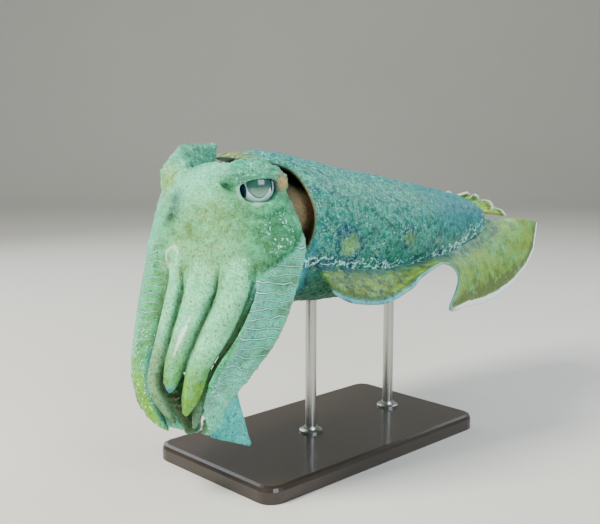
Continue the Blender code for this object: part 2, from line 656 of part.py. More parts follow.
def sheet(name, columns, rows, middle, thickness, finish=None):
    """A bent sheet with thickness: its two faces are split into triangles alike."""
    mesh = bmesh.new()
    bmesh.ops.create_grid(mesh, x_segments=columns, y_segments=rows, size=1.0)
    bmesh.ops.triangulate(mesh, faces=mesh.faces, quad_method="FIXED")
    under = list(mesh.verts)
    copy = bmesh.ops.extrude_face_region(mesh, geom=mesh.faces[:], use_keep_orig=True)
    over = [item for item in copy["geom"] if isinstance(item, bmesh.types.BMVert)]
    step = 1e-3
    for verts, face in ((under, -0.5), (over, 0.5)):
        u = np.array([(vert.co.x + 1.0) / 2.0 for vert in verts])
        v = np.array([(vert.co.y + 1.0) / 2.0 for vert in verts])
        inner_u, inner_v = np.clip(u, step, 1 - step), np.clip(v, 2 * step, 1 - step)
        by_u = middle(inner_u + step, inner_v) - middle(inner_u - step, inner_v)
        by_v = middle(inner_u, inner_v + step) - middle(inner_u, inner_v - step)
        normal = np.cross(by_u, by_v)
        normal /= np.linalg.norm(normal, axis=1, keepdims=True)
        for vert, place in zip(verts, middle(u, v) + normal * (thickness(v) * face)[:, None]):
            vert.co = place
    return new_object(name, mesh, finish)


def make_fan():
    """The web at the end of the left fourth arm, to be fused with it."""
    def middle(u, v):
        front, centre, rear = (along([row[index] for row in FAN], v) for index in range(3))
        u = u[..., None]
        return (front * (2 * u - 1) * (u - 1) + centre * 4 * u * (1 - u) + rear * u * (2 * u - 1))

    def thickness(v):
        return FAN_THICK[0] + (FAN_THICK[1] - FAN_THICK[0]) * v
    return sheet("fan", 6, 5, middle, thickness)


# Fins
def fin_root(side, t):
    """A place on the mantle's flank where the fin grows, t from the front to the rear of its edge."""
    way = follow(FIN_ROOT_WAY[side], t)
    y = FIN_ROOT_START + (FIN_ROOT_END - FIN_ROOT_START) * way
    place = mantle_section(y, np.radians(follow(FIN_ROOT_ANGLE, way)))
    place[..., 0] *= SIDES[side]
    return place


def make_fin(side, index, finish):
    """One length of a fin: a sheet from inside the mantle's flank to its free edge."""
    start, end = FIN_SPLITS[index], FIN_SPLITS[index + 1]
    start += FIN_SPLIT_GAP if index > 0 else 0.0
    end -= FIN_SPLIT_GAP if index < 2 else 0.0
    edge = np.array(FIN_EDGE[side]) * np.array([SIDES[side], 1.0, 1.0])

    def middle(u, v):
        t = start + (end - start) * u
        root, free = fin_root(side, t), along(edge, t)
        inward = root * np.array([1.0, 0.0, 0.0]) + np.array([0.0, 0.0, FIN_RISE])
        inward /= np.linalg.norm(inward, axis=-1, keepdims=True)
        v = v[..., None]
        sag = np.sin(v * math.pi) * FIN_SAG * np.linalg.norm(free - root, axis=-1, keepdims=True)
        reach = root + (free - root) * v + inward * sag * np.array([1, 0, 0.6])
        return np.where(v < 1e-6, root - inward * FIN_SINK, reach)

    def thickness(v):
        return FIN_ROOT_THICK + (FIN_EDGE_THICK - FIN_ROOT_THICK) * v ** 0.7
    return sheet(f"fin_{side}_{FIN_LENGTHS[index]}", 9, 5, middle, thickness, finish)


# Stand
def make_base(finish):
    mesh = bmesh.new()
    bmesh.ops.create_cube(mesh, size=1.0)
    bmesh.ops.scale(mesh, vec=BASE, verts=mesh.verts)
    bmesh.ops.translate(mesh, vec=(0, 0, BASE[2] / 2), verts=mesh.verts)
    upright = [e for e in mesh.edges if abs(e.verts[0].co.z - e.verts[1].co.z) > BASE[2] / 2]
    bmesh.ops.bevel(mesh, geom=upright, offset=BASE[2], offset_type="OFFSET", segments=5,
                    profile=0.5, affect="EDGES", material=-1)
    rim = [e for e in mesh.edges if min(v.co.z for v in e.verts) > BASE[2] * 0.99]
    bmesh.ops.bevel(mesh, geom=rim, offset=BASE_BEVEL, offset_type="OFFSET", segments=2,
                    profile=0.5, affect="EDGES", material=-1)
    return new_object("stand_base", mesh, finish)


def make_rod(name, y, cutter, finish):
    """A round rod from the base up to the mantle's belly, whose shape its top takes."""
    bottom = Vector((0, y, BASE[2] + GAP)) - Vector((0, 0, LIFT.z))
    top = follow(MANTLE_BOTTOM, y) + 0.012
    mesh = bmesh.new()
    bmesh.ops.create_cone(mesh, cap_ends=True, segments=20, radius1=ROD_RADIUS, radius2=ROD_RADIUS,
                          depth=float(top - bottom.z))
    bmesh.ops.translate(mesh, vec=(0, y, float(top + bottom.z) / 2), verts=mesh.verts)
    rod = new_object(name, mesh, finish)
    cut(rod, [cutter])
    return rod


def main():
    for item in list(bpy.data.objects):
        bpy.data.objects.remove(item)
    skin_blue = material("mantle_skin", (0.13, 0.27, 0.26), 0.45)
    skin_sage = material("head_skin", (0.32, 0.38, 0.26), 0.45)
    skin_arm = material("arm_skin", (0.42, 0.40, 0.24), 0.45)
    skin_fin = material("fin_skin", (0.40, 0.38, 0.14), 0.40)
    pale_eye = material("eye_glass", (0.55, 0.60, 0.58), 0.10)
    lacquer = material("stand_lacquer", (0.02, 0.02, 0.02), 0.35)
    steel = material("stand_steel", (0.55, 0.55, 0.56), 0.30, 1.0)

    lift = bpy.data.objects.new("animal", None)
    bpy.context.collection.objects.link(lift)
    mantle = make_mantle(skin_blue)
    animal = [mantle, make_head(skin_sage), make_funnel(skin_arm)]
    for side, sign in SIDES.items():
        animal.append(make_eye(side, sign, pale_eye))
    for kind in ARMS:
        animal += make_arm(kind, skin_arm)
    cutter = mantle_cutter()
    for side in SIDES:
        for index in range(len(FIN_LENGTHS)):
            fin = make_fin(side, index, skin_fin)
            cut(fin, [cutter])
            animal.append(fin)
    rods = [make_rod("stand_rod_" + place, y, cutter, steel)
            for place, y in zip(("front", "rear"), ROD_Y)]
    remove([cutter])
    base = make_base(lacquer)
    for item in animal + rods:
        item.parent = lift
        item.data.shade_smooth()
        item.data.set_sharp_from_angle(angle=math.radians(50))
    lift.location = LIFT
    base.data.set_sharp_from_angle(angle=math.radians(40))


main()
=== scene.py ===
import math
import random
from functools import partial

import bmesh
import bpy
import numpy as np
from mathutils import Matrix, Vector, kdtree, noise


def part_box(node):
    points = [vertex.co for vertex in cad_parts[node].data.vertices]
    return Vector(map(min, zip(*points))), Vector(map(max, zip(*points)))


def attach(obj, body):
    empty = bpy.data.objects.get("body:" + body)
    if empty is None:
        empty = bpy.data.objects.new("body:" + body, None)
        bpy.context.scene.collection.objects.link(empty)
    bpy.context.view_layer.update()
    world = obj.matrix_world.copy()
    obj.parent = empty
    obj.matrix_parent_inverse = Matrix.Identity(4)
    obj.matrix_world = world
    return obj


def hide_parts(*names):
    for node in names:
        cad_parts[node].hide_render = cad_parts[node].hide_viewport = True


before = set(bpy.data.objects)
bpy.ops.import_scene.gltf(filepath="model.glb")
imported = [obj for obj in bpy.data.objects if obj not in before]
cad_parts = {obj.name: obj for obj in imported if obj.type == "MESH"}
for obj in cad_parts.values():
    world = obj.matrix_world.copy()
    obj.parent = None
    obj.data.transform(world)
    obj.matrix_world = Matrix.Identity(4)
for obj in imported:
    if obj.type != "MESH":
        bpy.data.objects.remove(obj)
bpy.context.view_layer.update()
lift = Vector((0.0, -0.075, 0.208))      # from the animal's own frame to the part's
sides = {"left": 1.0, "right": -1.0}


# Curves and small sums
def follow(stations, at):
    # the value at a place along a short list of (place, value) pairs, on one smooth curve
    places = np.array([station[0] for station in stations], float)
    values = np.array([station[1] for station in stations], float)
    at = np.clip(np.asarray(at, float), places[0], places[-1])
    slopes = np.gradient(values, places, axis=0)
    index = np.clip(np.searchsorted(places, at) - 1, 0, len(places) - 2)
    width = places[index + 1] - places[index]
    t = (at - places[index]) / width
    if values.ndim > 1:
        t, width = t[..., None], width[..., None]
    return ((1 + 2 * t) * (1 - t) ** 2 * values[index] + t * (1 - t) ** 2 * width * slopes[index]
            + t ** 2 * (3 - 2 * t) * values[index + 1] + t ** 2 * (t - 1) * width * slopes[index + 1])


def along(points, t):
    points = np.array(points, float)
    steps = np.concatenate([[0.0], np.cumsum(np.linalg.norm(np.diff(points, axis=0), axis=1))])
    return follow(list(zip(steps / steps[-1], points)), t)


def bell(distance, width):
    return np.exp(-(np.asarray(distance, float) / width) ** 2)


def ease(value, start, end):
    # 0 at start and 1 at end, with a soft way between
    t = np.clip((np.asarray(value, float) - start) / (end - start), 0.0, 1.0)
    return t * t * (3 - 2 * t)


def signedPower(value, exponent):
    return np.sign(value) * np.abs(value) ** exponent


def evenTurns(count):
    return np.linspace(0, 2 * math.pi, count, endpoint=False)


def wrapAngle(angle):
    return (angle + math.pi) % (2 * math.pi) - math.pi


def noiseAt(places, size, seed=0.0):
    # soft noise from -1 to 1 whose lumps are about size metres apart
    shift = Vector((seed, seed * 1.7, seed * 0.6))
    return np.array([noise.noise(Vector(place) + shift) for place in np.asarray(places) / size])


# Mesh helpers
guide = {"places": [], "facts": []}      # points on every form, with what they belong to


def remember(kind, places, wayA=0.0, wayB=0.0):
    facts = np.zeros((len(places), 3))
    facts[:, 0], facts[:, 1], facts[:, 2] = kind, wayA, wayB
    guide["places"].append(np.array(places))
    guide["facts"].append(facts)


def bentGrid(columns, rows, surface):
    # a grid bent onto surface(u, v), its seam and poles welded where they meet
    mesh = bmesh.new()
    bmesh.ops.create_grid(mesh, x_segments=columns, y_segments=rows, size=1.0)
    flat = np.array([vert.co for vert in mesh.verts])
    for vert, place in zip(mesh.verts, surface((flat[:, 0] + 1) / 2, (flat[:, 1] + 1) / 2)):
        vert.co = place
    bmesh.ops.remove_doubles(mesh, verts=mesh.verts, dist=1e-6)
    bmesh.ops.recalc_face_normals(mesh, faces=mesh.faces)
    return mesh


def tubeGrid(columns, rings):
    # a closed loft through rings of points, each an array of columns points
    stack = np.array([np.repeat(rings[0].mean(axis=0)[None], columns, axis=0), *rings,
                      np.repeat(rings[-1].mean(axis=0)[None], columns, axis=0)])

    def surface(u, v):
        row = np.rint(v * (len(stack) - 1)).astype(int)
        return stack[row, np.rint(u * columns).astype(int) % columns]
    return bentGrid(columns, len(stack) - 1, surface)


def bentSheet(columns, rows, middle, thickness):
    # a bent sheet with two faces, thickness(v) apart
    mesh = bmesh.new()
    bmesh.ops.create_grid(mesh, x_segments=columns, y_segments=rows, size=1.0)
    under = list(mesh.verts)
    copy = bmesh.ops.extrude_face_region(mesh, geom=mesh.faces[:], use_keep_orig=True)
    over = [item for item in copy["geom"] if isinstance(item, bmesh.types.BMVert)]
    step = 1e-3
    for verts, face in ((under, -0.5), (over, 0.5)):
        flat = np.array([vert.co for vert in verts])
        u, v = (flat[:, 0] + 1) / 2, (flat[:, 1] + 1) / 2
        innerU, innerV = np.clip(u, step, 1 - step), np.clip(v, 2 * step, 1 - step)
        normal = np.cross(middle(innerU + step, innerV) - middle(innerU - step, innerV),
                          middle(innerU, innerV + step) - middle(innerU, innerV - step))
        normal /= np.linalg.norm(normal, axis=1, keepdims=True)
        for vert, place in zip(verts, middle(u, v) + normal * (thickness(v) * face)[:, None]):
            vert.co = place
    bmesh.ops.recalc_face_normals(mesh, faces=mesh.faces)
    return mesh


def makeObject(name, mesh, finish=None):
    data = bpy.data.meshes.new(name)
    mesh.to_mesh(data)
    mesh.free()
    if finish:
        data.materials.append(finish)
    made = bpy.data.objects.new(name, data)
    bpy.context.scene.collection.objects.link(made)
    return made


def applyModifiers(piece):
    graph = bpy.context.evaluated_depsgraph_get()
    baked = bpy.data.meshes.new_from_object(piece.evaluated_get(graph))
    piece.modifiers.clear()
    piece.data = baked


def joinPieces(name, meshes):
    # one mesh object from several bmeshes
    whole = bpy.data.meshes.new(name)
    total = bmesh.new()
    for mesh in meshes:
        mesh.to_mesh(whole)
        mesh.free()
        total.from_mesh(whole)
    return makeObject(name, total)


def booleanWith(piece, tools, operation):
    for tool in tools:
        modifier = piece.modifiers.new("Join", "BOOLEAN")
        modifier.operation, modifier.object, modifier.solver = operation, tool, "MANIFOLD"
    applyModifiers(piece)
    for tool in tools:
        bpy.data.objects.remove(tool)


def vertexArray(piece, field="co"):
    values = np.empty(len(piece.data.vertices) * 3, np.float32)
    piece.data.vertices.foreach_get(field, values)
    return values.reshape(-1, 3).astype(float)


def moveVertices(piece, places):
    piece.data.vertices.foreach_set("co", np.asarray(places, np.float32).ravel())
    piece.data.update()


def smoothArea(piece, weights, factor, repeats):
    # rounds the surface off where weights are high
    group = piece.vertex_groups.new(name="softArea")
    for level in range(1, 11):
        chosen = np.nonzero(np.rint(weights * 10) == level)[0]
        group.add(chosen.tolist(), level / 10, "REPLACE")
    modifier = piece.modifiers.new("Smooth", "SMOOTH")
    modifier.factor, modifier.iterations, modifier.vertex_group = factor, repeats, "softArea"
    applyModifiers(piece)
    piece.vertex_groups.clear()


# Materials
def colour(text):
    # an sRGB hex value as the linear colour that a shader takes
    parts = [int(text[place:place + 2], 16) / 255 for place in (1, 3, 5)]
    return [part / 12.92 if part <= 0.04045 else ((part + 0.055) / 1.055) ** 2.4 for part in parts] + [1.0]


def setNode(node, settings):
    # a node's own settings, values of its inputs by name or number, and sockets to link to them
    for name, value in settings.items():
        if isinstance(name, str) and hasattr(node, name):
            setattr(node, name, value)
        elif isinstance(value, bpy.types.NodeSocket):
            node.id_data.links.new(value, node.inputs[name])
        else:
            node.inputs[name].default_value = value


def addNode(tree, kind, settings, output=0):
    node = tree.nodes.new("ShaderNode" + kind)
    setNode(node, settings)
    return node.outputs[output]


def newMaterial(name):
    # a material, what adds nodes to it, and its shader
    made = bpy.data.materials.new(name)
    made.use_nodes = True
    return made, partial(addNode, made.node_tree), made.node_tree.nodes["Principled BSDF"]


def makeGrained(name, grain, tones, finish, stretch=(1.0, 1.0, 1.0)):
    # a material of two tones mixed by one fine noise, that its gloss and its relief follow too;
    # finish holds values for the shader, or the two ends of Roughness and of Bump
    made, add, shader = newMaterial(name)
    place = add("Mapping", {"Scale": stretch, "Vector": add("TexCoord", {}, "Object")})
    cloud = add("TexNoise", {**grain, "Vector": place})
    low, high = (colour(tone) for tone in tones)
    settings = {"Base Color": add("Mix", {"data_type": "RGBA", 0: cloud, 6: low, 7: high}, 2), **finish}
    if "Bump" in finish:
        strength, distance = settings.pop("Bump")
        settings["Normal"] = add("Bump", {"Strength": strength, "Distance": distance, "Height": cloud})
    if isinstance(finish["Roughness"], tuple):
        smooth, rough = finish["Roughness"]
        settings["Roughness"] = add("MapRange", {"To Min": smooth, "To Max": rough, "Value": cloud})
    setNode(shader, settings)
    return made


print("mantle")
mantle = {
    "length": 0.303,
    "halfWidth": [(-0.045, 0.052), (0.0, 0.060), (0.05, 0.066), (0.10, 0.069), (0.17, 0.062),
                  (0.24, 0.046), (0.285, 0.033), (0.303, 0.029)],
    "top": [(-0.045, 0.0595), (0.0, 0.0615), (0.03, 0.0560), (0.08, 0.0450), (0.11, 0.0400),
            (0.18, 0.0265), (0.243, 0.0135), (0.303, 0.000)],
    "bottom": [(-0.045, -0.060), (0.0, -0.064), (0.057, -0.069), (0.12, -0.066), (0.20, -0.056),
               (0.27, -0.044), (0.303, -0.037)],
    "squareness": 2.25, "tailRound": 0.050, "rimY": -0.009, "rimSide": 0.016,
    "collar": 0.0150, "collarAngle": -0.45, "collarHalfAngle": 0.42, "tongueLength": 0.031,
    "tongueHalfAngle": 0.50, "notchDepth": 0.020, "notchHalfAngle": 0.42,
    "recessFloor": 0.020, "wall": 0.0045,
    # path from the middle of the recess to the rim: how far along, section scale, way forward
    "inside": [(0.0, 0.0, 0.0), (0.45, 0.74, 0.0), (0.58, 0.86, 0.12), (0.92, 0.905, 0.85),
               (1.0, 0.955, 1.0)],
    "columns": 150, "insideRows": 20, "outsideRows": 130, "kind": 1, "insideKind": 2,
}


def mantleRim(angle):
    tongue = np.exp(-(np.abs(wrapAngle(angle - math.pi / 2)) / mantle["tongueHalfAngle"]) ** 4)
    notch = bell(wrapAngle(angle + math.pi / 2), mantle["notchHalfAngle"])
    low = bell(np.arctan2(np.sin(angle), np.abs(np.cos(angle))) - mantle["collarAngle"],
               mantle["collarHalfAngle"])
    return (mantle["rimY"] + mantle["rimSide"] * np.cos(angle) ** 2 - mantle["collar"] * low
            - mantle["tongueLength"] * tongue + mantle["notchDepth"] * notch)


def mantleSection(y, angle, scale=1.0):
    y = np.asarray(y, float)
    rounding = np.clip((y - mantle["length"] + mantle["tailRound"]) / mantle["tailRound"], 0.0, 1.0)
    rounding = np.sqrt(np.clip(1.0 - rounding ** 2.4, 0.0, 1.0)) * scale
    top, bottom = follow(mantle["top"], y), follow(mantle["bottom"], y)
    exponent = 2 / mantle["squareness"]
    x = follow(mantle["halfWidth"], y) * rounding * signedPower(np.cos(angle), exponent)
    z = (top + bottom) / 2 + (top - bottom) / 2 * rounding * signedPower(np.sin(angle), exponent)
    return np.stack([x, y + 0 * angle, z], axis=-1)


def mantleShares(places):
    # how far up and out points lie in the mantle's section, 1 at its surface
    y = places[:, 1]
    top, bottom = follow(mantle["top"], y), follow(mantle["bottom"], y)
    return ((places[:, 2] - (top + bottom) / 2) / ((top - bottom) / 2),
            places[:, 0] / follow(mantle["halfWidth"], y))


def mantleAngle(places):
    # the way round the mantle of points near it, from its left side over its top
    up, out = mantleShares(places)
    exponent = mantle["squareness"] / 2
    return np.arctan2(signedPower(up, exponent), signedPower(out, exponent))


def makeMantle():
    rows = mantle["insideRows"] + mantle["outsideRows"]
    path = np.array(mantle["inside"])

    def surface(u, v):
        row = np.rint(v * rows)
        angle = u * 2 * math.pi
        rim = mantleRim(angle)
        within = np.clip(row / mantle["insideRows"], 0.0, 1.0)
        scale, forward = np.interp(within, path[:, 0], path[:, 1]), np.interp(within, path[:, 0], path[:, 2])
        floor = mantle["recessFloor"]
        inner = mantleSection(floor + (rim - floor) * forward, angle, scale)
        way = 1 - (1 - np.clip(row / mantle["insideRows"] - 1, 0, None)
                   * mantle["insideRows"] / mantle["outsideRows"]) ** 1.5
        outer = mantleSection(rim + (mantle["length"] - rim) * way, angle)
        isInside = row <= mantle["insideRows"]
        places = np.where(isInside[:, None], inner, outer)
        remember(mantle["kind"], places[~isInside])
        remember(mantle["insideKind"], places[isInside])
        return places
    return bentGrid(mantle["columns"], rows, surface)


print("head and arms")
bundle = {
    "turn": math.radians(6.0),
    "axisY": [(-0.190, -0.092), (-0.160, -0.090), (-0.134, -0.086), (-0.111, -0.076), (-0.081, -0.060),
              (-0.057, -0.051), (-0.025, -0.044), (0.0, -0.041), (0.03, -0.040), (0.060, -0.039)],
    "across": [(-0.190, 0.012), (-0.175, 0.019), (-0.160, 0.029), (-0.134, 0.042), (-0.111, 0.055),
               (-0.081, 0.068), (-0.057, 0.073), (-0.025, 0.072), (0.0, 0.068), (0.03, 0.059),
               (0.045, 0.051), (0.060, 0.040)],
    "forward": [(-0.190, 0.010), (-0.175, 0.016), (-0.160, 0.024), (-0.134, 0.034), (-0.111, 0.044),
                (-0.081, 0.052), (-0.057, 0.054), (-0.025, 0.052), (0.0, 0.047), (0.03, 0.040),
                (0.045, 0.034), (0.060, 0.022)],
    "back": [(-0.190, 0.010), (-0.175, 0.016), (-0.160, 0.023), (-0.134, 0.031), (-0.111, 0.038),
             (-0.081, 0.043), (-0.057, 0.041), (-0.025, 0.037), (0.0, 0.035), (0.03, 0.031),
             (0.045, 0.026), (0.060, 0.016)],
    "crown": -0.040,
    "cheek": 0.009, "cheekTurn": math.radians(107.0), "cheekHalfTurn": math.radians(27.0),
    "cheekZ": -0.008, "cheekHalfHeight": 0.030,
}


def cheekSwell(z, turn):
    return (bundle["cheek"] * bell(np.abs(wrapAngle(turn)) - bundle["cheekTurn"], bundle["cheekHalfTurn"])
            * bell(z - bundle["cheekZ"], bundle["cheekHalfHeight"]))


def bundlePoint(z, turn, depth=0.0):
    # a point at a height and a turn round the head and arms (0 is their front), depth inside
    z, turn, depth = np.broadcast_arrays(np.asarray(z, float), turn, depth)
    depth = depth - cheekSwell(z, turn)
    forward = np.where(np.cos(turn) > 0, follow(bundle["forward"], z), follow(bundle["back"], z)) - depth
    side, ahead = (follow(bundle["across"], z) - depth) * np.sin(turn), forward * np.cos(turn)
    c, s = math.cos(bundle["turn"]), math.sin(bundle["turn"])
    return np.stack([side * c + ahead * s, side * s - ahead * c + follow(bundle["axisY"], z), z], axis=-1)


def bundleTurn(places):
    # the turn of points on or in the bundle, and how deep they lie
    z, y = places[:, 2], places[:, 1] - follow(bundle["axisY"], places[:, 2])
    c, s = math.cos(bundle["turn"]), math.sin(bundle["turn"])
    side, ahead = places[:, 0] * c + y * s, places[:, 0] * s - y * c
    across = follow(bundle["across"], z)
    forward = np.where(ahead > 0, follow(bundle["forward"], z), follow(bundle["back"], z))
    reach, turn = np.hypot(side / across, ahead / forward), np.arctan2(side / across, ahead / forward)
    return turn, (1 - reach) * (across + forward) / 2 + cheekSwell(z, turn)


head = {
    "top": 0.0528, "round": 0.024, "bottom": -0.056, "columns": 150, "rows": 70, "kind": 3,
    "sinkStart": -0.006, "sinkDepth": 0.0085,      # its lower skin dips under the arms' backs
    "neckHalfWidth": 0.046, "neckHalfHeight": 0.033, "neckZ": 0.011, "neckKind": 4, "neckColumns": 60,
    # place along the body and size of each of the neck's rings
    "neckRings": [(-0.040, 0.85), (-0.020, 1.0), (0.004, 1.0), (mantle["recessFloor"] + 0.002, 0.93)],
}


def makeHead():
    def surface(u, v):
        row = np.rint(v * head["rows"])
        turn = u * 2 * math.pi
        way = np.clip(row - 1, 0, None) / (head["rows"] - 1)
        z = head["bottom"] + (head["top"] - head["bottom"]) * (1 - (1 - way) ** 1.25)
        rounding = np.clip((z - head["top"] + head["round"]) / head["round"], 0.0, 1.0)
        shrink = np.where(row == 0, 0.0, np.sqrt(np.clip(1.0 - rounding ** 2.2, 0.0, 1.0)))
        sink = head["sinkDepth"] * ease(z, head["sinkStart"], head["bottom"]) ** 1.5
        middle = np.stack([0 * z, follow(bundle["axisY"], z), z], axis=-1)
        places = middle + (bundlePoint(z, turn, sink) - middle) * shrink[:, None]
        remember(head["kind"], places)
        return places
    return bentGrid(head["columns"], head["rows"], surface)


def makeNeck():
    turn = evenTurns(head["neckColumns"])
    rings = []
    for y, size in head["neckRings"]:
        rings.append(np.stack([np.cos(turn) * head["neckHalfWidth"] * size, y + 0 * turn,
                               head["neckZ"] + np.sin(turn) * head["neckHalfHeight"] * size], axis=-1))
    for number, ring in enumerate(rings[1:]):
        for part in np.linspace(0, 1, 8):
            remember(head["neckKind"], rings[number] * (1 - part) + ring * part)
    return tubeGrid(head["neckColumns"], rings)


eye = {
    "radius": 0.0160, "z": 0.0372, "turn": math.radians(66.5), "sink": 0.0115,
    "halfLength": 0.0157, "halfHeight": 0.0098, "slant": math.radians(6.0),
    "lids": (0.60, 1.25), "blunt": 0.78,           # how far each lid opens, and how round the corners are
    "lidWidth": 0.0082, "lidRise": 0.0170, "kind": 5, "columns": 64, "moundRows": 14, "moundFoot": -0.5,
    # way out in radii and size of each ring of the opening's cutter
    "openingRings": [(0.2, 0.80), (0.8, 0.97), (1.0, 1.03), (1.5, 1.22)], "socketGap": 0.0002,
}


def eyeFrame(sign):
    # centre of an eyeball, and the directions out of it, along its opening and up across it
    turn = sign * eye["turn"]
    place = Vector(bundlePoint(eye["z"], turn))
    ahead = Vector(bundlePoint(eye["z"], turn - sign * 0.05) - bundlePoint(eye["z"], turn + sign * 0.05))
    ahead.normalize()
    up = Vector((0, 0, 1))
    out = (ahead.cross(up) * sign).normalized()
    if out.dot(place - Vector((0, place.y, eye["z"]))) < 0:
        out = -out
    slantAlong = (ahead * math.cos(eye["slant"]) - up * math.sin(eye["slant"])).normalized()
    slantUp = (up * math.cos(eye["slant"]) + ahead * math.sin(eye["slant"])).normalized()
    return place - out * eye["sink"], out, slantAlong, slantUp


def eyePlace(places, sign):
    # points as (along, up, out) from the eyeball's centre
    centre, out, slantAlong, slantUp = eyeFrame(sign)
    return (places - np.array(centre)) @ np.array([slantAlong, slantUp, out]).T


def eyeRings(sign, turn, levels, lids=(1.0, 1.0), blunt=1.0):
    # rings of (out, half length, half height) about the line of sight
    centre, out, slantAlong, slantUp = (np.array(item) for item in eyeFrame(sign))
    rise = signedPower(np.sin(turn), blunt) * np.where(np.sin(turn) > 0, *lids)
    return [centre + level * out + np.outer(signedPower(np.cos(turn), blunt) * length, slantAlong)
            + np.outer(rise * height, slantUp) for level, length, height in levels]


def makeMound(sign):
    # the raised rim that carries the lids
    length, height = eye["halfLength"] + eye["lidWidth"], eye["halfHeight"] + eye["lidWidth"]
    levels = [(eye["moundFoot"] * eye["lidRise"], length, height)]
    for level in np.sin(np.linspace(0, math.pi / 2, eye["moundRows"])[:-1]):
        size = math.sqrt(1.0 - level ** 2)
        levels.append((level * eye["lidRise"], length * size, height * size))
    rings = eyeRings(sign, evenTurns(eye["columns"]), levels)
    remember(eye["kind"], np.concatenate(rings))
    return tubeGrid(eye["columns"], rings)


def makeOpening(sign):
    levels = [(level * eye["radius"], eye["halfLength"] * size, eye["halfHeight"] * size)
              for level, size in eye["openingRings"]]
    turn = evenTurns(eye["columns"])
    return tubeGrid(eye["columns"], eyeRings(sign, turn, levels, eye["lids"], eye["blunt"]))


def makeSocket(sign):
    mesh = bmesh.new()
    bmesh.ops.create_icosphere(mesh, subdivisions=5, radius=eye["radius"] + eye["socketGap"])
    bmesh.ops.translate(mesh, vec=eyeFrame(sign)[0], verts=mesh.verts)
    return mesh


flap = {
    "x": 0.036, "z": 0.046, "lean": 0.15, "kind": 6, "columns": 64, "blunt": 0.8,
    # height of each ring as a share of the rise, and where and over what share the top closes
    "levels": (-0.5, -0.2, 0.0, 0.15, 0.3, 0.45, 0.6, 0.72, 0.83, 0.92, 0.97, 1.0), "closing": (0.8, 0.22),
    # front and rear ends at the foot and at the top, as places along the body
    1.0: {"foot": (-0.074, -0.022), "top": (-0.056, -0.030), "thick": 0.024, "rise": 0.0115, "taper": 0.75},
    -1.0: {"foot": (-0.073, -0.020), "top": (-0.053, -0.016), "thick": 0.011, "rise": 0.0210, "taper": 0.45},
}


def makeFlap(sign):
    # flat papilla that stands fore and aft over the eye, a low hump on the left
    turn, spec, rings = evenTurns(flap["columns"]), flap[sign], []
    closeFrom, closeOver = flap["closing"]
    for level in flap["levels"]:
        height, way = level * spec["rise"], max(level, 0.0)
        front, rear = (foot + (top - foot) * way ** 1.5 for foot, top in zip(spec["foot"], spec["top"]))
        thick = spec["thick"] / 2 * (1 - spec["taper"] * way ** 2)
        thick *= math.sqrt(max(1 - (max(level - closeFrom, 0.0) / closeOver) ** 2, 0))
        rings.append(np.stack([sign * (flap["x"] + height * flap["lean"] + np.sin(turn) * thick),
                               (front + rear) / 2
                               + signedPower(np.cos(turn), flap["blunt"]) * (rear - front) / 2,
                               flap["z"] + height + 0 * turn], axis=-1))
    remember(flap["kind"], np.concatenate(rings))
    return tubeGrid(flap["columns"], rings)


# Edges of each arm round the bundle by height, as degrees from its front towards the animal's left
arms = {
    "arm1Left": dict(edges=[(-0.118, 12.0, 27.0), (-0.095, 5.8, 26.2), (-0.072, 5.6, 26.6),
                            (-0.040, 7.0, 33.2)],
                     thick=0.019, depth=0.0010, web=0.0),
    "arm1Right": dict(edges=[(-0.143, 40.0, 26.0), (-0.132, 25.0, 9.0), (-0.118, 9.5, -6.5),
                             (-0.095, 5.2, -9.0), (-0.072, 5.0, -8.0), (-0.040, 6.4, -7.0)],
                      thick=0.018, depth=0.0010, web=0.0),
    "arm2Left": dict(edges=[(-0.136, 37.0, 56.0), (-0.116, 31.5, 55.0), (-0.095, 26.8, 50.2),
                            (-0.072, 27.2, 54.5), (-0.040, 33.8, 59.7)],
                     thick=0.021, depth=0.0, web=0.0),
    "arm2Right": dict(edges=[(-0.150, 31.0, 12.0), (-0.142, 18.0, -12.0), (-0.130, 4.0, -29.0),
                             (-0.116, -8.0, -44.0), (-0.095, -9.8, -51.0), (-0.072, -8.8, -53.0),
                             (-0.040, -7.8, -54.0)],
                      thick=0.021, depth=0.0, web=0.0),
    "arm3Left": dict(edges=[(-0.150, 62.0, 81.0), (-0.136, 57.0, 76.5), (-0.095, 51.5, 77.0),
                            (-0.040, 61.0, 87.0)],
                     thick=0.016, depth=0.0054, web=0.0),
    "arm3Right": dict(edges=[(-0.136, -49.0, -66.0), (-0.095, -52.5, -76.0), (-0.040, -55.0, -80.0)],
                      thick=0.016, depth=0.0054, web=0.0),
    "arm4Left": dict(edges=[(-0.160, 108.0, 146.0), (-0.150, 90.0, 140.0), (-0.140, 74.0, 132.0),
                            (-0.120, 56.5, 124.0), (-0.095, 51.0, 131.0), (-0.072, 55.2, 135.0),
                            (-0.040, 60.5, 140.0)],
                     thick=0.021, depth=0.0, web=1.0),
    "arm4Right": dict(edges=[(-0.165, -118.0, -206.0), (-0.154, -84.0, -194.0),
                             (-0.140, -58.0, -166.0), (-0.116, -45.5, -138.0),
                             (-0.095, -52.0, -130.0), (-0.040, -55.0, -130.0)],
                      thick=0.021, depth=0.0, web=1.0, tipStart=0.93),
}
armShape = {
    "start": -0.016, "columns": 48, "rows": 110, "clearance": 0.008, "roundness": 0.80,
    "tipStart": 0.78, "webTipStart": 0.84, "tipPower": 2.5, "tipBlunt": 0.16,
    "webThick": 0.0030, "webArmPlace": 0.42, "webArmHalf": 0.42, "firstKind": 10,
}


def armSpan(spec, z):
    edges = np.radians(follow([(place, (front, rear)) for place, front, rear in spec["edges"]], z))
    return edges.mean(axis=-1), (edges[..., 1] - edges[..., 0]) / 2


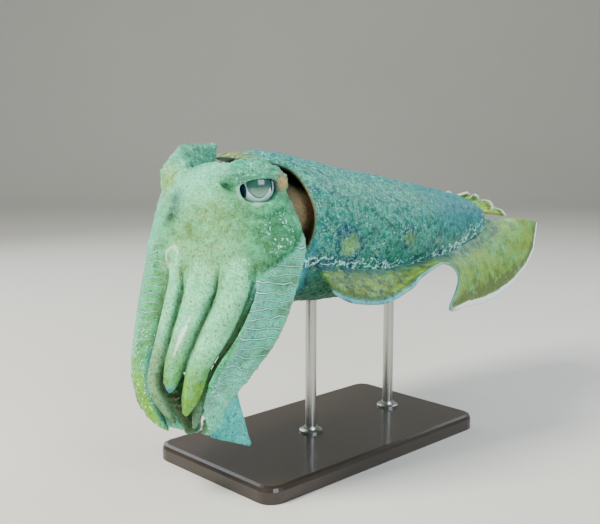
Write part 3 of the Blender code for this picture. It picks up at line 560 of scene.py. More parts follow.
def armDepths(spec, t, across):
    # depth of an arm's outer and inner faces below the bundle's surface
    thick = spec["thick"] * (1.0 - 0.45 * t)
    if spec["web"]:
        body = np.exp(-((across - armShape["webArmPlace"]) / armShape["webArmHalf"]) ** 4)
        outer = 0.0006 + 0.0030 * (1 - body) * (across > armShape["webArmPlace"])
        return outer, outer + armShape["webThick"] + (thick - armShape["webThick"]) * body
    edge = np.abs(across) ** 3.4
    return spec["depth"] + (0.16 + 0.12 * t) * thick * edge, spec["depth"] + thick * (1.0 - 0.10 * edge)


def armWay(spec, z):
    return np.clip((bundle["crown"] - z) / (bundle["crown"] - spec["edges"][0][0]), 0.0, 1.0)


def makeArm(kind, spec):
    rows = armShape["rows"]
    tipStart = spec.get("tipStart", armShape["webTipStart" if spec["web"] else "tipStart"])

    def surface(u, v):
        row = np.rint(v * rows)
        ends = (row == 0) | (row == rows)
        way = np.sin(np.clip(row - 1, 0, rows - 2) / (rows - 2) * math.pi / 2)
        z = armShape["start"] + (spec["edges"][0][0] - armShape["start"]) * way
        t = armWay(spec, z)
        closing = np.clip((t - tipStart) / (1.0 - tipStart), 0.0, 1.0)
        closing = np.maximum((1.0 - closing ** armShape["tipPower"]) ** 0.5, armShape["tipBlunt"])
        section = u * 2 * math.pi
        across = signedPower(np.cos(section), armShape["roundness"])
        outer, inner = armDepths(spec, t, across * ~ends)
        half = (inner - outer) / 2 * closing * ~ends
        depth = (outer + inner) / 2 + half * signedPower(-np.sin(section), armShape["roundness"])
        middle, spread = armSpan(spec, z)
        spread -= np.sign(spread) * armShape["clearance"]
        side = across * closing * ~ends
        if spec["web"]:
            # the free edge is ruffled, more so towards the tip
            ruffle = np.sin(t * 47 + np.sin(t * 19) * 1.4) + 0.6 * np.sin(t * 83 + 1.0)
            free = np.clip(across, 0, 1) ** 3 * ease(t, 0.25, 0.7) * ease(t, 1.0, 0.9)
            side = side + 0.045 * ruffle * free
            depth = depth + 0.0014 * np.sin(t * 61 + across * 3.0) * free
        places = bundlePoint(z, middle + spread * side, depth)
        remember(kind, places, across, np.sign(-np.sin(section)))
        return places
    return bentGrid(armShape["columns"], rows, surface)


fan = {
    "net": [[(0.032, -0.068, -0.127), (0.032, -0.061, -0.126), (0.029, -0.056, -0.125)],
            [(0.0262, -0.073, -0.144), (0.037, -0.060, -0.144), (0.033, -0.053, -0.146)],
            [(0.0262, -0.080, -0.158), (0.040, -0.061, -0.165), (0.030, -0.039, -0.174)]],
    "thick": (0.0040, 0.0014), "kind": 30,
}


def makeFan():
    # web at the end of the left fourth arm
    def middle(u, v):
        front, centre, rear = (along([row[index] for row in fan["net"]], v) for index in range(3))
        ripple = (0.0022 * np.sin(u * 10.0 + 1.0) + 0.0009 * np.sin(u * 23.0 + v * 4.0)) * v ** 1.5
        u = u[..., None]
        place = front * (2 * u - 1) * (u - 1) + centre * 4 * u * (1 - u) + rear * u * (2 * u - 1)
        return place + ripple[..., None] * np.array([1.0, 0.0, 0.0])

    def thickness(v):
        return fan["thick"][0] + (fan["thick"][1] - fan["thick"][0]) * v
    u, v = np.meshgrid(np.linspace(0, 1, 24), np.linspace(0, 1, 30))
    remember(fan["kind"], middle(u.ravel(), v.ravel()), v.ravel(), u.ravel())
    return bentSheet(28, 34, middle, thickness)


funnel = {
    "route": [(0.0, 0.0215, -0.0350), (0.0, 0.008, -0.0385), (0.0, -0.001, -0.049),
              (0.0, -0.006, -0.064), (0.0, -0.008, -0.078)],
    "wall": 0.0022, "kind": 7, "columns": 40, "rows": 26, "insideFrom": 8,
    # half width and half height at its root, and how much each narrows towards its mouth
    "width": (0.024, 0.014), "height": (0.0100, 0.0025),
}


def makeFunnel():
    # the siphon, an open tube that leaves the mantle under the neck
    turn, steps, rings = evenTurns(funnel["columns"]), np.linspace(0.0, 1.0, funnel["rows"]), []
    route, (width, narrowing), (height, lowering) = funnel["route"], funnel["width"], funnel["height"]
    for inside, places in ((0, steps), (1, steps[:funnel["insideFrom"]:-1])):
        for t in places:
            ahead = Vector(along(route, min(t + 0.02, 1.0)) - along(route, max(t - 0.02, 0.0)))
            ahead = ahead.normalized() if t > 0.0 else Vector((0, -1, 0))
            across = Vector((1, 0, 0))
            up = across.cross(ahead).normalized()
            wide = width - narrowing * t ** 0.7 - funnel["wall"] * inside
            tall = height - lowering * t - funnel["wall"] * inside
            rings.append(along(route, t)[None] + np.outer(np.cos(turn) * wide, across)
                         + np.outer(np.sin(turn) * tall, up))
    remember(funnel["kind"], np.concatenate(rings))
    return tubeGrid(funnel["columns"], rings)


print("fins")
fins = {
    "rootAngle": [(0.0, -24.0), (0.76, -24.0), (0.91, -15.0), (1.0, 3.0)],      # degrees, along the fin
    "rootStart": 0.006, "rootEnd": 0.292, "sink": 0.006,
    "rise": 0.012, "sag": 0.12, "rootThick": 0.0046, "columns": 260, "rows": 48,
    "left": {"kind": 8, "frill": 0.0004, "frillStart": 0.05, "frillLength": 0.031, "lobes": 0.0,
             "edgeThick": 0.0014, "rootWay": [(0.0, 0.0), (0.42, 0.70), (1.0, 1.0)],
             "edge": [(0.076, 0.008, -0.049), (0.082, 0.018, -0.056), (0.086, 0.034, -0.060),
                      (0.088, 0.056, -0.062), (0.0935, 0.080, -0.054), (0.097, 0.098, -0.041),
                      (0.099, 0.118, -0.034), (0.096, 0.142, -0.044), (0.088, 0.156, -0.062),
                      (0.085, 0.149, -0.078), (0.074, 0.190, -0.086), (0.059, 0.262, -0.088),
                      (0.046, 0.318, -0.079), (0.032, 0.370, -0.056), (0.016, 0.402, -0.029)]},
    "right": {"kind": 9, "frill": 0.0030, "frillStart": 0.60, "frillLength": 0.016, "lobes": 0.10,
              "edgeThick": 0.0026, "rootWay": [(0.0, 0.0), (1.0, 1.0)],
              "edge": [(0.068, 0.003, -0.036), (0.086, 0.026, -0.038), (0.098, 0.056, -0.044),
                       (0.100, 0.090, -0.054), (0.093, 0.124, -0.058), (0.093, 0.156, -0.044),
                       (0.090, 0.194, -0.031), (0.080, 0.236, -0.016), (0.070, 0.278, -0.002),
                       (0.056, 0.322, 0.005), (0.036, 0.362, 0.000), (0.014, 0.386, -0.020)]},
}


def finRoot(side, t):
    # where the fin grows from the flank, t from the front to the rear of its free edge
    way = follow(fins[side]["rootWay"], t)
    y = fins["rootStart"] + (fins["rootEnd"] - fins["rootStart"]) * way
    place = mantleSection(y, np.radians(follow(fins["rootAngle"], way)))
    place[..., 0] *= sides[side]
    return place


def makeFin(side, sign):
    # a thin sheet from inside the mantle's flank to its free edge, with a frilled margin
    spec = fins[side]
    edge = np.array(spec["edge"]) * np.array([sign, 1.0, 1.0])
    length = np.linalg.norm(np.diff(edge, axis=0), axis=1).sum()

    def middle(u, v):
        root, free = finRoot(side, u), along(edge, u)
        inward = root * np.array([1.0, 0.0, 0.0]) + np.array([0.0, 0.0, fins["rise"]])
        inward /= np.linalg.norm(inward, axis=-1, keepdims=True)
        turns = 2 * math.pi * u * length / spec["frillLength"]
        turns += 1.1 * np.sin(turns * 0.37) + 0.7 * np.sin(turns * 0.61 + 2.0)
        wave = spec["frill"] * ease(u, spec["frillStart"], spec["frillStart"] + 0.08) * v ** 3
        lobes = 1 - spec["lobes"] * (np.abs(np.cos(turns / 2)) ** 3) * v ** 2 * (wave > 0)
        v = v[..., None]
        sag = np.sin(v * math.pi) * fins["sag"] * np.linalg.norm(free - root, axis=-1, keepdims=True)
        reach = root + (free - root) * v * lobes[..., None] + inward * sag * np.array([1, 0, 0.6])
        reach[..., 2] += wave * np.sin(turns)
        reach[..., 0] += wave * np.cos(turns * 0.8) * 0.5 * sign
        return np.where(v < 1e-6, root - inward * fins["sink"], reach)

    def thickness(v):
        return fins["rootThick"] + (spec["edgeThick"] - fins["rootThick"]) * v ** 0.7
    u, v = np.meshgrid(np.linspace(0, 1, 420), 1 - np.linspace(0, 0.9995, 70) ** 1.6)
    remember(spec["kind"], middle(u.ravel(), v.ravel()), u.ravel(), v.ravel())
    return bentSheet(fins["columns"], fins["rows"], middle, thickness)


finKinds = [fins[side]["kind"] for side in sides]

print("one skin from all the forms")
skin = {"voxel": 0.0010, "quickVoxel": 0.0020, "triangles": 150000, "quickTriangles": 80000,
        "sheetEdge": 0.0034, "splits": 4}
forms = [makeMantle(), makeHead(), makeNeck(), makeFunnel()]
for sign in sides.values():
    forms += [makeMound(sign), makeFlap(sign)]
for index, spec in enumerate(arms.values()):
    forms.append(makeArm(armShape["firstKind"] + index, spec))
body = joinPieces("skin", forms)
remesh = body.modifiers.new("Remesh", "REMESH")
remesh.mode, remesh.voxel_size = "VOXEL", skin["voxel"]
smooth = body.modifiers.new("Smooth", "SMOOTH")
smooth.factor, smooth.iterations = 0.5, 8
applyModifiers(body)
print("  remeshed", len(body.data.vertices))
booleanWith(body, [makeObject("tool", make(sign)) for make in (makeSocket, makeOpening)
                   for sign in sides.values()], "DIFFERENCE")
sheets = [makeObject(side + "Fin", makeFin(side, sign)) for side, sign in sides.items()]
booleanWith(body, [*sheets, makeObject("fan", makeFan())], "UNION")
print("  with fins", len(body.data.vertices))


guideFacts = np.concatenate(guide["facts"])
guideTree = kdtree.KDTree(len(guideFacts))
for number, point in enumerate(np.concatenate(guide["places"])):
    guideTree.insert(point, number)
guideTree.balance()


def nearestFacts(places):
    # what each point belongs to, from the forms' own points
    return guideFacts[[guideTree.find(place)[1] for place in places]]


def eyeDistance(places):
    # distance from the nearer eye's opening, in half openings
    found = []
    for sign in sides.values():
        spot = eyePlace(places, sign)
        rise = spot[:, 1] / (eye["halfHeight"] * np.where(spot[:, 1] > 0, *eye["lids"]))
        found.append(np.where(spot[:, 2] > -0.002, np.hypot(spot[:, 0] / eye["halfLength"], rise), 9.0))
    return np.minimum(*found)


def rootGap(places):
    # height over the fin's root line on the mantle's flank
    sign = np.sign(places[:, 0])
    flank = places * np.stack([sign, np.ones_like(sign), np.ones_like(sign)], axis=1)
    way = (places[:, 1] - fins["rootStart"]) / (fins["rootEnd"] - fins["rootStart"])
    angle = wrapAngle(mantleAngle(flank) - np.radians(follow(fins["rootAngle"], way)))
    return angle * follow(mantle["halfWidth"], places[:, 1])


headKinds = (head["kind"], eye["kind"], flap["kind"])
places = vertexArray(body)
facts = nearestFacts(places)
isFin = np.isin(facts[:, 0], finKinds)
isMantle = facts[:, 0] == mantle["kind"]
atBase = bell(rootGap(places), 0.0045) * isMantle * (places[:, 1] > 0.0) + (isFin & (facts[:, 2] < 0.12))
atLid = bell(eyeDistance(places) - 1.0, 0.25)
smoothArea(body, np.clip(atBase, 0, 1), 0.5, 14)
smoothArea(body, np.clip(atLid, 0, 1), 0.5, 3)
atFoot = (np.isin(facts[:, 0], headKinds) * bell(places[:, 2] - 0.048, 0.006)
          * bell(np.abs(places[:, 0]) - flap["x"], 0.018))
smoothArea(body, atFoot, 0.5, 26)

print("relief")
armKinds = [armShape["firstKind"] + index for index in range(len(arms))]
webKinds = [kind for kind, spec in zip(armKinds, arms.values()) if spec["web"]]
marks = {
    "gold": [((0.0644, 0.0389, -0.0142), 0.0105), ((0.0684, 0.1112, -0.0146), 0.0070),
             ((0.0636, 0.1558, -0.0210), 0.0045), ((0.0640, 0.0700, -0.0240), 0.0040),
             ((-0.0650, 0.0500, -0.0100), 0.0100), ((-0.0680, 0.1000, -0.0180), 0.0065),
             ((-0.0620, 0.1500, -0.0160), 0.0080)],
    "cheek": [((0.0670, -0.0430, 0.0030), 0.0230)],
    "smudge": ((-0.0089, -0.0823, 0.0220), 0.0070),
    "spots": [((0.0351, -0.0679, 0.0394), 0.0034), ((-0.0120, -0.0840, 0.0120), 0.0045),
              ((0.0480, -0.0620, 0.0120), 0.0022), ((0.0230, -0.0800, 0.0100), 0.0020)],
    "browYellow": [((-0.0338, -0.0715, 0.0393), 0.0150)],
    "lidOrange": (-0.0195, 0.0010, 0.0052),      # along and up from the eye, and its radius
    "ring": ((0.0003, -0.0929, -0.0172), 0.0062),
    "ringLine": 0.0006, "ringShiver": 0.0010, "roundSquash": 0.7,
    "caps": [((0.0640, 0.0300, -0.0020), 0.0075), ((-0.0650, 0.0400, 0.0020), 0.0080)],
    # turn, height, half length, sway and narrowness of the white sliver
    "sliver": (math.radians(17.5), -0.0725, 0.0125), "sliverSway": (0.030, 170), "sliverNarrow": (55, 0.85),
    "stripePitch": 0.0044, "tongueHalf": 0.36, "blotch": (1.10, 0.70), "blotchRing": (1.28, 0.26),
    # half width of the painted shade in the grooves between the arms
    "crease": math.radians(0.85),
    # size and seed of each soft noise
    "wander": (0.016, 2.0), "blur": (0.007, 4.4), "brown": (0.011, 9.3),
}
relief = {
    "crease": 0.0028, "creaseWidth": math.radians(1.35), "creaseTop": -0.018, "creaseFade": (0.006, -0.022),
    "creaseTip": 0.02, "creaseDepth": 0.0035, "outerDepth": 0.008,
    "webTop": [(60.0, -0.030), (80.0, -0.018), (100.0, -0.004), (125.0, 0.002), (150.0, -0.01)],
    "webSoft": 0.004, "webSide": (57, 63), "step": 0.0012, "stepBand": (0.002, 0.0025), "stepSide": (60, 70),
    "barPitch": 0.0068, "bar": 0.00050, "barHalf": 0.10, "barEnd": (-0.125, -0.095),
    # size, seed and strength of the bars' two wobbles, and their tilt towards the back
    "barWobble": [(0.012, 3.1, 0.42), (0.030, 5.7, 0.5)], "barLevel": 95.0, "barTilt": 0.00010,
    "lump": 0.0006, "lumpSize": 0.011, "lumpSeed": 1.3,
    "papilla": 0.0010, "papillaSize": 0.0075, "papillaNarrow": 2.4, "papillaWeb": 1.6, "papillaArm": 0.7,
    "papillaHead": 0.6, "armLow": (-0.085, -0.105), "headHigh": (0.03, 0.055),
    "fold": 0.0008, "foldSize": 0.0062, "foldSeed": 7.9, "fineSeed": 2.9, "foldNarrow": 2.4, "fineFold": 0.6,
    "foldMost": 1.4, "foldFace": 0.22, "foldFlap": 0.2, "foldBrow": 0.8, "foldMantle": 0.45,
    "browFrom": (0.030, 0.046),
    "lidCalm": (1.0, 1.5), "lidFold": 0.0005, "lidFoldWaves": 9.0, "lidFoldBand": (1.9, 0.6),
    "orangeLobe": 0.0016, "knob": 0.0016, "knobSize": 0.0100, "knobNarrow": 1.9,
    "knobRear": (0.13, 0.20), "knobTop": (0.1, 0.6),
}
seams = [("arm1Right", 0, "arm1Left", 0), ("arm1Left", 1, "arm2Left", 0), ("arm2Left", 1, "arm4Left", 0),
         ("arm1Right", 1, "arm2Right", 0), ("arm2Right", 1, "arm4Right", 0)]


def armEdge(name, which, z):
    middle, spread = armSpan(arms[name], z)
    return middle + spread * (1 if which else -1)


def barPhase(places, turn):
    # number of the pale bars down the outer face of the fourth arms
    wobble = sum(noiseAt(places, size, seed) * strength for size, seed, strength in relief["barWobble"])
    tilt = np.abs(np.degrees(turn)) - relief["barLevel"]
    return (-places[:, 2] - relief["barTilt"] * tilt) / relief["barPitch"] + wobble


def creaseLines(turn, z, width):
    # 1 in the grooves between neighbouring arms, from the face down to the shorter arm's tip
    lines = np.zeros(len(z))
    start, end = relief["creaseFade"]
    for nameA, whichA, nameB, whichB in seams:
        middle = (armEdge(nameA, whichA, z) + armEdge(nameB, whichB, z)) / 2
        shorter = max(arms[nameA]["edges"][0][0], arms[nameB]["edges"][0][0])
        fade = (ease(z, relief["creaseTop"] + start, relief["creaseTop"] + end)
                * ease(z, shorter, shorter + relief["creaseTip"]))
        lines = np.maximum(lines, bell(wrapAngle(turn - middle), width) * fade)
    return lines


def cones(places, size, narrow):
    # a small cone at the middle of each cell, cells size metres apart
    cell = np.array([noise.voronoi(Vector(place))[0][0] for place in places / size])
    return np.clip(1 - cell * narrow, 0, 1)


def nearOrange(spot):
    # 1 on the orange lobe behind an eye, from points as eyePlace gives them
    lobe = bell(np.hypot(spot[:, 0] - marks["lidOrange"][0], spot[:, 1] - marks["lidOrange"][1]),
                marks["lidOrange"][2])
    return lobe * (spot[:, 2] > 0)


def shapeRelief(body):
    places, normals = vertexArray(body), vertexArray(body, "normal")
    kinds = nearestFacts(places)[:, 0]
    turn, depth = bundleTurn(places)
    away = np.degrees(np.abs(turn))
    y, z = places[:, 1], places[:, 2]
    isHead, isArm, isMantle = np.isin(kinds, headKinds), np.isin(kinds, armKinds), kinds == mantle["kind"]
    isOuter = depth < relief["outerDepth"]
    over = np.sin(mantleAngle(places))
    push = -relief["crease"] * creaseLines(turn, z, relief["creaseWidth"]) * (
        isHead | (isArm & (depth < relief["creaseDepth"])))
    webTop = follow(relief["webTop"], np.clip(away, 60, 150))
    onWeb = (ease(z, webTop + relief["webSoft"], webTop - relief["webSoft"]) * ease(away, *relief["webSide"])
             * isOuter)
    stepPlace, stepHalf = relief["stepBand"]
    push -= relief["step"] * bell(z - webTop - stepPlace, stepHalf) * ease(away, *relief["stepSide"]) * isHead
    bars = bell(np.abs(barPhase(places, turn) % 1.0 - 0.5), relief["barHalf"]) * ease(z, *relief["barEnd"])
    push += relief["bar"] * bars * onWeb * (isHead | isArm)
    push += relief["lump"] * noiseAt(places, relief["lumpSize"], relief["lumpSeed"]) * (isHead | isMantle)
    around = eyeDistance(places)
    calm = ease(around, *relief["lidCalm"])
    narrow = relief["foldNarrow"]
    crumple = 1 - np.abs(noiseAt(places, relief["foldSize"], relief["foldSeed"])) * narrow
    crumple += relief["fineFold"] * (1 - np.abs(noiseAt(places, relief["foldSize"] / 2, relief["fineSeed"]))
                                     * narrow)
    onBrow = relief["foldFace"] + ease(z, *relief["browFrom"]) * np.where(
        kinds == flap["kind"], relief["foldFlap"], relief["foldBrow"])
    push += relief["fold"] * np.clip(crumple, 0, relief["foldMost"]) ** 2 * calm * (
        isHead * onBrow + relief["foldMantle"] * isMantle)
    middle, half = relief["lidFoldBand"]
    push += relief["lidFold"] * np.sin(around * relief["lidFoldWaves"]) * bell(around - middle, half) * isHead
    lower = isArm * isOuter * ease(z, *relief["armLow"])
    dotted = (lower * np.where(np.isin(kinds, webKinds), relief["papillaWeb"], relief["papillaArm"])
              + relief["papillaHead"] * isHead * ease(z, *relief["headHigh"]))
    push += relief["papilla"] * cones(places, relief["papillaSize"], relief["papillaNarrow"]) * dotted * calm
    knobby = isMantle * ease(y, *relief["knobRear"]) * ease(over, *relief["knobTop"])
    push += relief["knob"] * cones(places, relief["knobSize"], relief["knobNarrow"]) * knobby
    for sign in sides.values():
        push += relief["orangeLobe"] * nearOrange(eyePlace(places, sign)) * isHead
    moveVertices(body, places + normals * push[:, None])


def editMesh(piece, change=None):
    # leaves a piece's mesh in triangles, after a change to it as a bmesh
    mesh = bmesh.new()
    mesh.from_mesh(piece.data)
    if change:
        change(mesh)
    bmesh.ops.triangulate(mesh, faces=mesh.faces)
    mesh.to_mesh(piece.data)
    mesh.free()


def halveLongEdges(mesh):
    # the thin fins keep only long edges, which are halved until they can carry fine markings
    facts = nearestFacts([vert.co for vert in mesh.verts])
    onSheet = np.isin(facts[:, 0], (*finKinds, fan["kind"]))
    long = [edge for edge in mesh.edges if edge.calc_length() > skin["sheetEdge"]
            and all(onSheet[vert.index] for vert in edge.verts)]
    bmesh.ops.subdivide_edges(mesh, edges=long, cuts=1)


shapeRelief(body)
editMesh(body)
most = skin["triangles"]
if len(body.data.polygons) > most:
    thin = body.modifiers.new("Thin", "DECIMATE")
    thin.ratio = most / len(body.data.polygons)
    applyModifiers(body)
for _ in range(skin["splits"]):
    editMesh(body, halveLongEdges)
print("  skin has", len(body.data.polygons), "triangles")

print("markings")
groups = {
    "head": headKinds, "neck": [head["neckKind"]], "funnel": [funnel["kind"]], "fan": [fan["kind"]],
    "inMantle": (mantle["kind"], mantle["insideKind"]), "fin": finKinds, "leftFin": finKinds[:1],
    "rightFin": finKinds[1:], "arm": armKinds, "frontArms": armKinds[:3], "rearArms": armKinds[4:],
    "thirdArms": armKinds[4:6], "webArms": webKinds, "bundle": (*headKinds, *armKinds),
    **{name: [kind] for name, kind in zip(arms, armKinds)},
}


def byName(table):
    return {name: (by, *pair) for by, group in table.items() for name, pair in group.items()}


# Zones, by what they go by: where a mask is 0 and where 1. away is the turn from the bundle's front in
# degrees, over the sine of the way up the mantle's side, wayA and wayB run along and out on an arm or
# fin, around is in openings of the eye, and brown and blur are soft noises
zones = byName({
    "depth": {"facing": (0.0085, 0.0055), "armFlank": (0.0030, 0.0055)},
    "away": {"webSide": (57, 64), "stepSide": (60, 72), "backTurn": (112, 128), "headRear": (128, 142),
             "headSeam": (122, 128), "headSide": (95, 110), "rimSide": (64, 52)},
    "degrees": {"rimTurn": (-16, -34)},
    "y": {"rearWay": (0.11, 0.21), "rearLine": (0.12, 0.20), "behindRim": (0.0, 0.06),
          "tongueTip": (-0.018, -0.030)},
    "over": {"flank": (-0.35, 0.35), "ridge": (0.72, 0.97), "belly": (-0.40, -0.66), "overFins": (-0.5, -0.2),
             "midFlank": (-0.4, 0.0), "recessRoof": (0.35, 0.75)},
    "shell": {"insideShell": (0.985, 0.950)},
    "z": {"neckTop": (0.020, 0.036), "brow": (0.038, 0.050), "browNet": (0.036, 0.046),
          "belowCrown": (0.048, 0.030), "lidTop": (0.046, 0.040), "warm": (0.040, 0.020),
          "face": (0.038, 0.0), "foreheadLow": (0.010, 0.035), "paleFace": (0.0, 0.03),
          "armRoots": (0.020, -0.030), "chin": (0.0, -0.03), "lowWebs": (-0.092, -0.110),
          "lilac": (-0.02, -0.04), "barEnd": (-0.128, -0.100), "rightBarTop": (-0.002, -0.016),
          "rightBarEnd": (-0.100, -0.075), "rosy": (-0.06, -0.10), "blueRimLow": (-0.08, -0.10),
          "rightDots": (-0.060, -0.085), "webDots": (-0.085, -0.105), "leftWebRim": (-0.075, -0.095),
          "rightWebRim": (-0.138, -0.146), "lobeLow": (-0.052, -0.082)},
    "side": {"browSide": (0.010, 0.022)},
    "cheek": {"beads": (0.45, 0.95)},
    "around": {"lid": (1.16, 1.06)},
    "cornerWay": {"corner": (-0.0125, -0.0140)},
    "overWeb": {"underWebTop": (0.003, -0.004)},
    "tipWay": {"yellowTip": (0.40, 0.85), "paleArm": (0.35, 0.8), "blueTip": (0.90, 0.97)},
    "aside": {"blueRim": (0.75, 0.98)},
    "wayA": {"webEdge": (0.88, 0.97), "frontWay": (0.42, 0.32), "lobeWay": (0.40, 0.46),
             "beforeHollow": (0.46, 0.40), "leftRim": (0.42, 0.47), "rightRim": (0.6, 0.7)},
    "wayB": {"finRoot": (0.30, 0.03), "finNet": (0.65, 0.15)},
    "brown": {"mottled": (-0.20, 0.35), "webMottled": (-0.1, 0.3), "darkPatch": (-0.3, 0.3),
              "faceMottled": (-0.45, 0.45), "headMottled": (-0.15, 0.45), "armMottled": (-0.1, 0.4)},
})
# Bands likewise: the middle and half width of a mask
bands = byName({
    "lowTurn": {"collar": (-0.52, 0.36)},
    "fromRim": {"stripMiddle": (0.0050, 0.0044), "stripRear": (0.0120, 0.0026),
                "stripFront": (-0.0004, 0.0014), "tongueRim": (0.0010, 0.0014)},
    "gap": {"rootDark": (0.0055, 0.0090)},
    "blur": {"darkVein": (0.36, 0.12), "lobeVein": (0.22, 0.09), "limeVein": (0.25, 0.2)},
    "over": {"flankShade": (-0.05, 0.28)},
    "wayB": {"finRootDark": (0.08, 0.10)},
    "innerGap": {"finInner": (0.0062, 0.0028)},
    "toEdge": {"blueMargin": (0.0015, 0.0032)},
    "degrees": {"warmTurn": (18, 34), "faceTurn": (10, 45), "paleTurn": (8, 26), "rightBar": (-24, 11),
                "rootMiddle": (-1, 6.5), "rootNext": (21, 11), "rootSide": (42, 9)},
    "x": {"forehead": (0.0, 0.020)},
    "z": {"rearCheek": (0.028, 0.02)},
    "away": {"cheekFront": (40, 14), "webMiddle": (92, 14), "webFront": (62, 8)},
    "overWeb": {"step": (0.003, 0.0025)},
    "around": {"underEye": (1.55, 0.30), "lidLine": (1.03, 0.05)},
})
# Masks put together from others; 1- before a name turns it round
joined = {
    "mantle": "inMantle 1-inside", "onWeb": "underWebTop webSide facing bundle", "lowWeb": "onWeb lowWebs",
    "rear": "rearWay flank", "headBack": "head backTurn belowCrown", "frontLobe": "leftFin frontWay",
    "rearLobe": "leftFin lobeWay", "low": "collar mantle", "strip": "low stripMiddle",
    "inCorner": "head lid front",
}
# Each layer of paint as strengths of masks
recipes = {
    "teal": [(1.0, "mantle"), (0.9, "funnel"), (0.60, "head brow browSide")],
    "blue": [(1.0, "mantle bluish"), (0.45, "headBack"), (0.35, "fan"), (0.5, "funnel"),
             (0.5, "leftFin finRoot"), (0.35, "head rearCheek headSide"), (1.0, "inCorner corner")],
    "gold": [(0.62, "mantle blotch"), (0.95, "mantle tongue"), (0.80, "fin"), (0.5, "fin wander"),
             (0.34, "head warmTurn warm"), (0.85, "head browYellow")],
    "olive": [(1.0, "frontLobe torn"), (0.85, "fin finInner"), (0.40, "rearLobe mottled"),
              (0.65, "rearLobe lobeLow"), (0.30, "onWeb webMiddle 1-lowWeb webMottled"),
              (0.30, "head faceTurn face faceMottled"),
              (0.15, "head headMottled"), (0.30, "arm facing armMottled")],
    "lime": [(0.45, "arm1Left facing yellowTip"), (0.15, "arm1Right facing yellowTip"),
             (1.0, "arm2Left facing yellowTip"), (0.95, "arm2Right facing yellowTip"),
             (0.1, "rearArms facing yellowTip"), (0.5, "arm2Right facing limeVein")],
    "green": [(1.0, "head 1-onWeb greenish")],
    "rose": [(0.75, "arm 1-facing"), (0.85, "arm1Right facing rosy"), (0.8, "thirdArms facing")],
    "recess": [(1.0, "inMantle inside"), (1.0, "neck"), (0.8, "headBack headRear"), (0.9, "stripes")],
    # the cream down the middle of the three front arms' roots is painted highlight along their ridges; the
    # rest of the cream is the skin's own pale colour
    "cream": [(0.85, "head rootMiddle armRoots"), (0.85, "head rootNext armRoots"),
              (0.85, "head rootSide armRoots"), (0.12, "mantle blotch"), (0.95, "frontArms facing"),
              (-0.8, "frontArms facing paleArm"), (0.35, "head paleTurn paleFace")],
    "pale": [(0.85, "lowWeb"), (0.6, "fan"), (1.0, "fan wander"), (0.5, "rimTurn rimSide bundle facing"),
             (0.55, "onWeb"), (0.9, "tongue tongueRim"), (0.5, "head forehead foreheadLow")],
    "lilac": [(0.75, "onWeb webFront lilac")],
    "lightBlue": [(0.9, "arm1Left facing blueTip"), (0.8, "arm2Right facing blueRim blueRimLow"),
                  (0.95, "strip"), (0.45, "fan"), (0.85, "leftFin beforeHollow blueMargin")],
    "navy": [(1.0, "mantle ring"), (1.0, "mantle caps"), (0.90, "mantle rootDark broken"),
             (0.95, "low stripRear 1-strip"), (0.95, "low stripFront 1-strip"),
             (0.75, "mantle darkVein midFlank"), (0.55, "headBack headSeam"), (0.55, "fin finRootDark"),
             (0.75, "frontLobe lobeVein"), (0.8, "smudged")],
    # belly darkens the mantle's lower sides: painted shade on its underside
    "belly": [(1.0, "mantle belly"), (-0.9, "mantle belly strip")],
    "orange": [(1.0, "head orangeLobe")],
    "net": [(0.45, "mantleNet"), (0.55, "mantleNet overFins"), (0.30, "headNet"), (1.2, "headNet browNet"),
            (0.85, "lowWeb"), (0.12, "arm facing"), (0.45, "fin finNet")],
    "bars": [(1.0, "onWeb barEnd"), (0.75, "head facing rightBar rightBarTop rightBarEnd"),
             (0.75, "arm2Right facing rightBar rightBarTop rightBarEnd")],
    "dots": [(1.0, "head beads 1-onWeb"), (0.15, "head"), (1.0, "arm2Right facing rightDots"),
             (1.0, "webArms facing webDots")],
    # painted shade: the gap above the neck, the roof of the mantle's opening, the grooves between the arms,
    # the arms' deep flanks and faces and the step above the webs; the spots, the smudge and the tongue's
    # stripes are dark marks of the skin
    "shade": [(0.85, "neck neckTop"), (0.9, "inMantle inside recessRoof"), (0.72, "crease facing bundle"),
              (0.75, "head spots"), (0.5, "smudged"), (0.12, "head underEye"), (0.55, "stripes"),
              (0.35, "mantle flankShade behindRim darkPatch"), (0.35, "arm facing armFlank"),
              (0.45, "arm 1-facing"), (0.5, "head step stepSide")],
    "white": [(0.55, "head ringMark"), (1.0, "arm facing sliver"), (0.40, "head lidLine lidTop 1-inCorner")],
    "edgeWhite": [(1.0, "leftFin leftRim"), (0.35, "rightFin rightRim"), (1.0, "webRim"), (0.12, "fin")],
}
clipped = ("recess", "net", "bars", "edgeWhite", "dots", "shade", "white")


def mask(at, names):
    # the product of named masks: forms, zones and bands
    product = 1.0
    for name in names.split():
        key = name.removeprefix("1-")
        if key in zones:
            by, start, end = zones[key]
            value = ease(at[by], start, end)
        elif key in bands:
            by, middle, half = bands[key]
            value = bell(at[by] - middle, half)
        else:
            value = at[key]
        product = product * (value if key == name else 1 - value)
    return product


def distanceTo(places, centre, squash=1.0):
    return np.linalg.norm((places - np.array(centre)) * np.array([1.0, 1.0, squash]), axis=1)


def mantleShell(places):
    # 1 on the mantle's outer surface and less inside its opening
    up, out = (np.abs(share) ** mantle["squareness"] for share in mantleShares(places))
    return (up + out) ** (1 / mantle["squareness"])


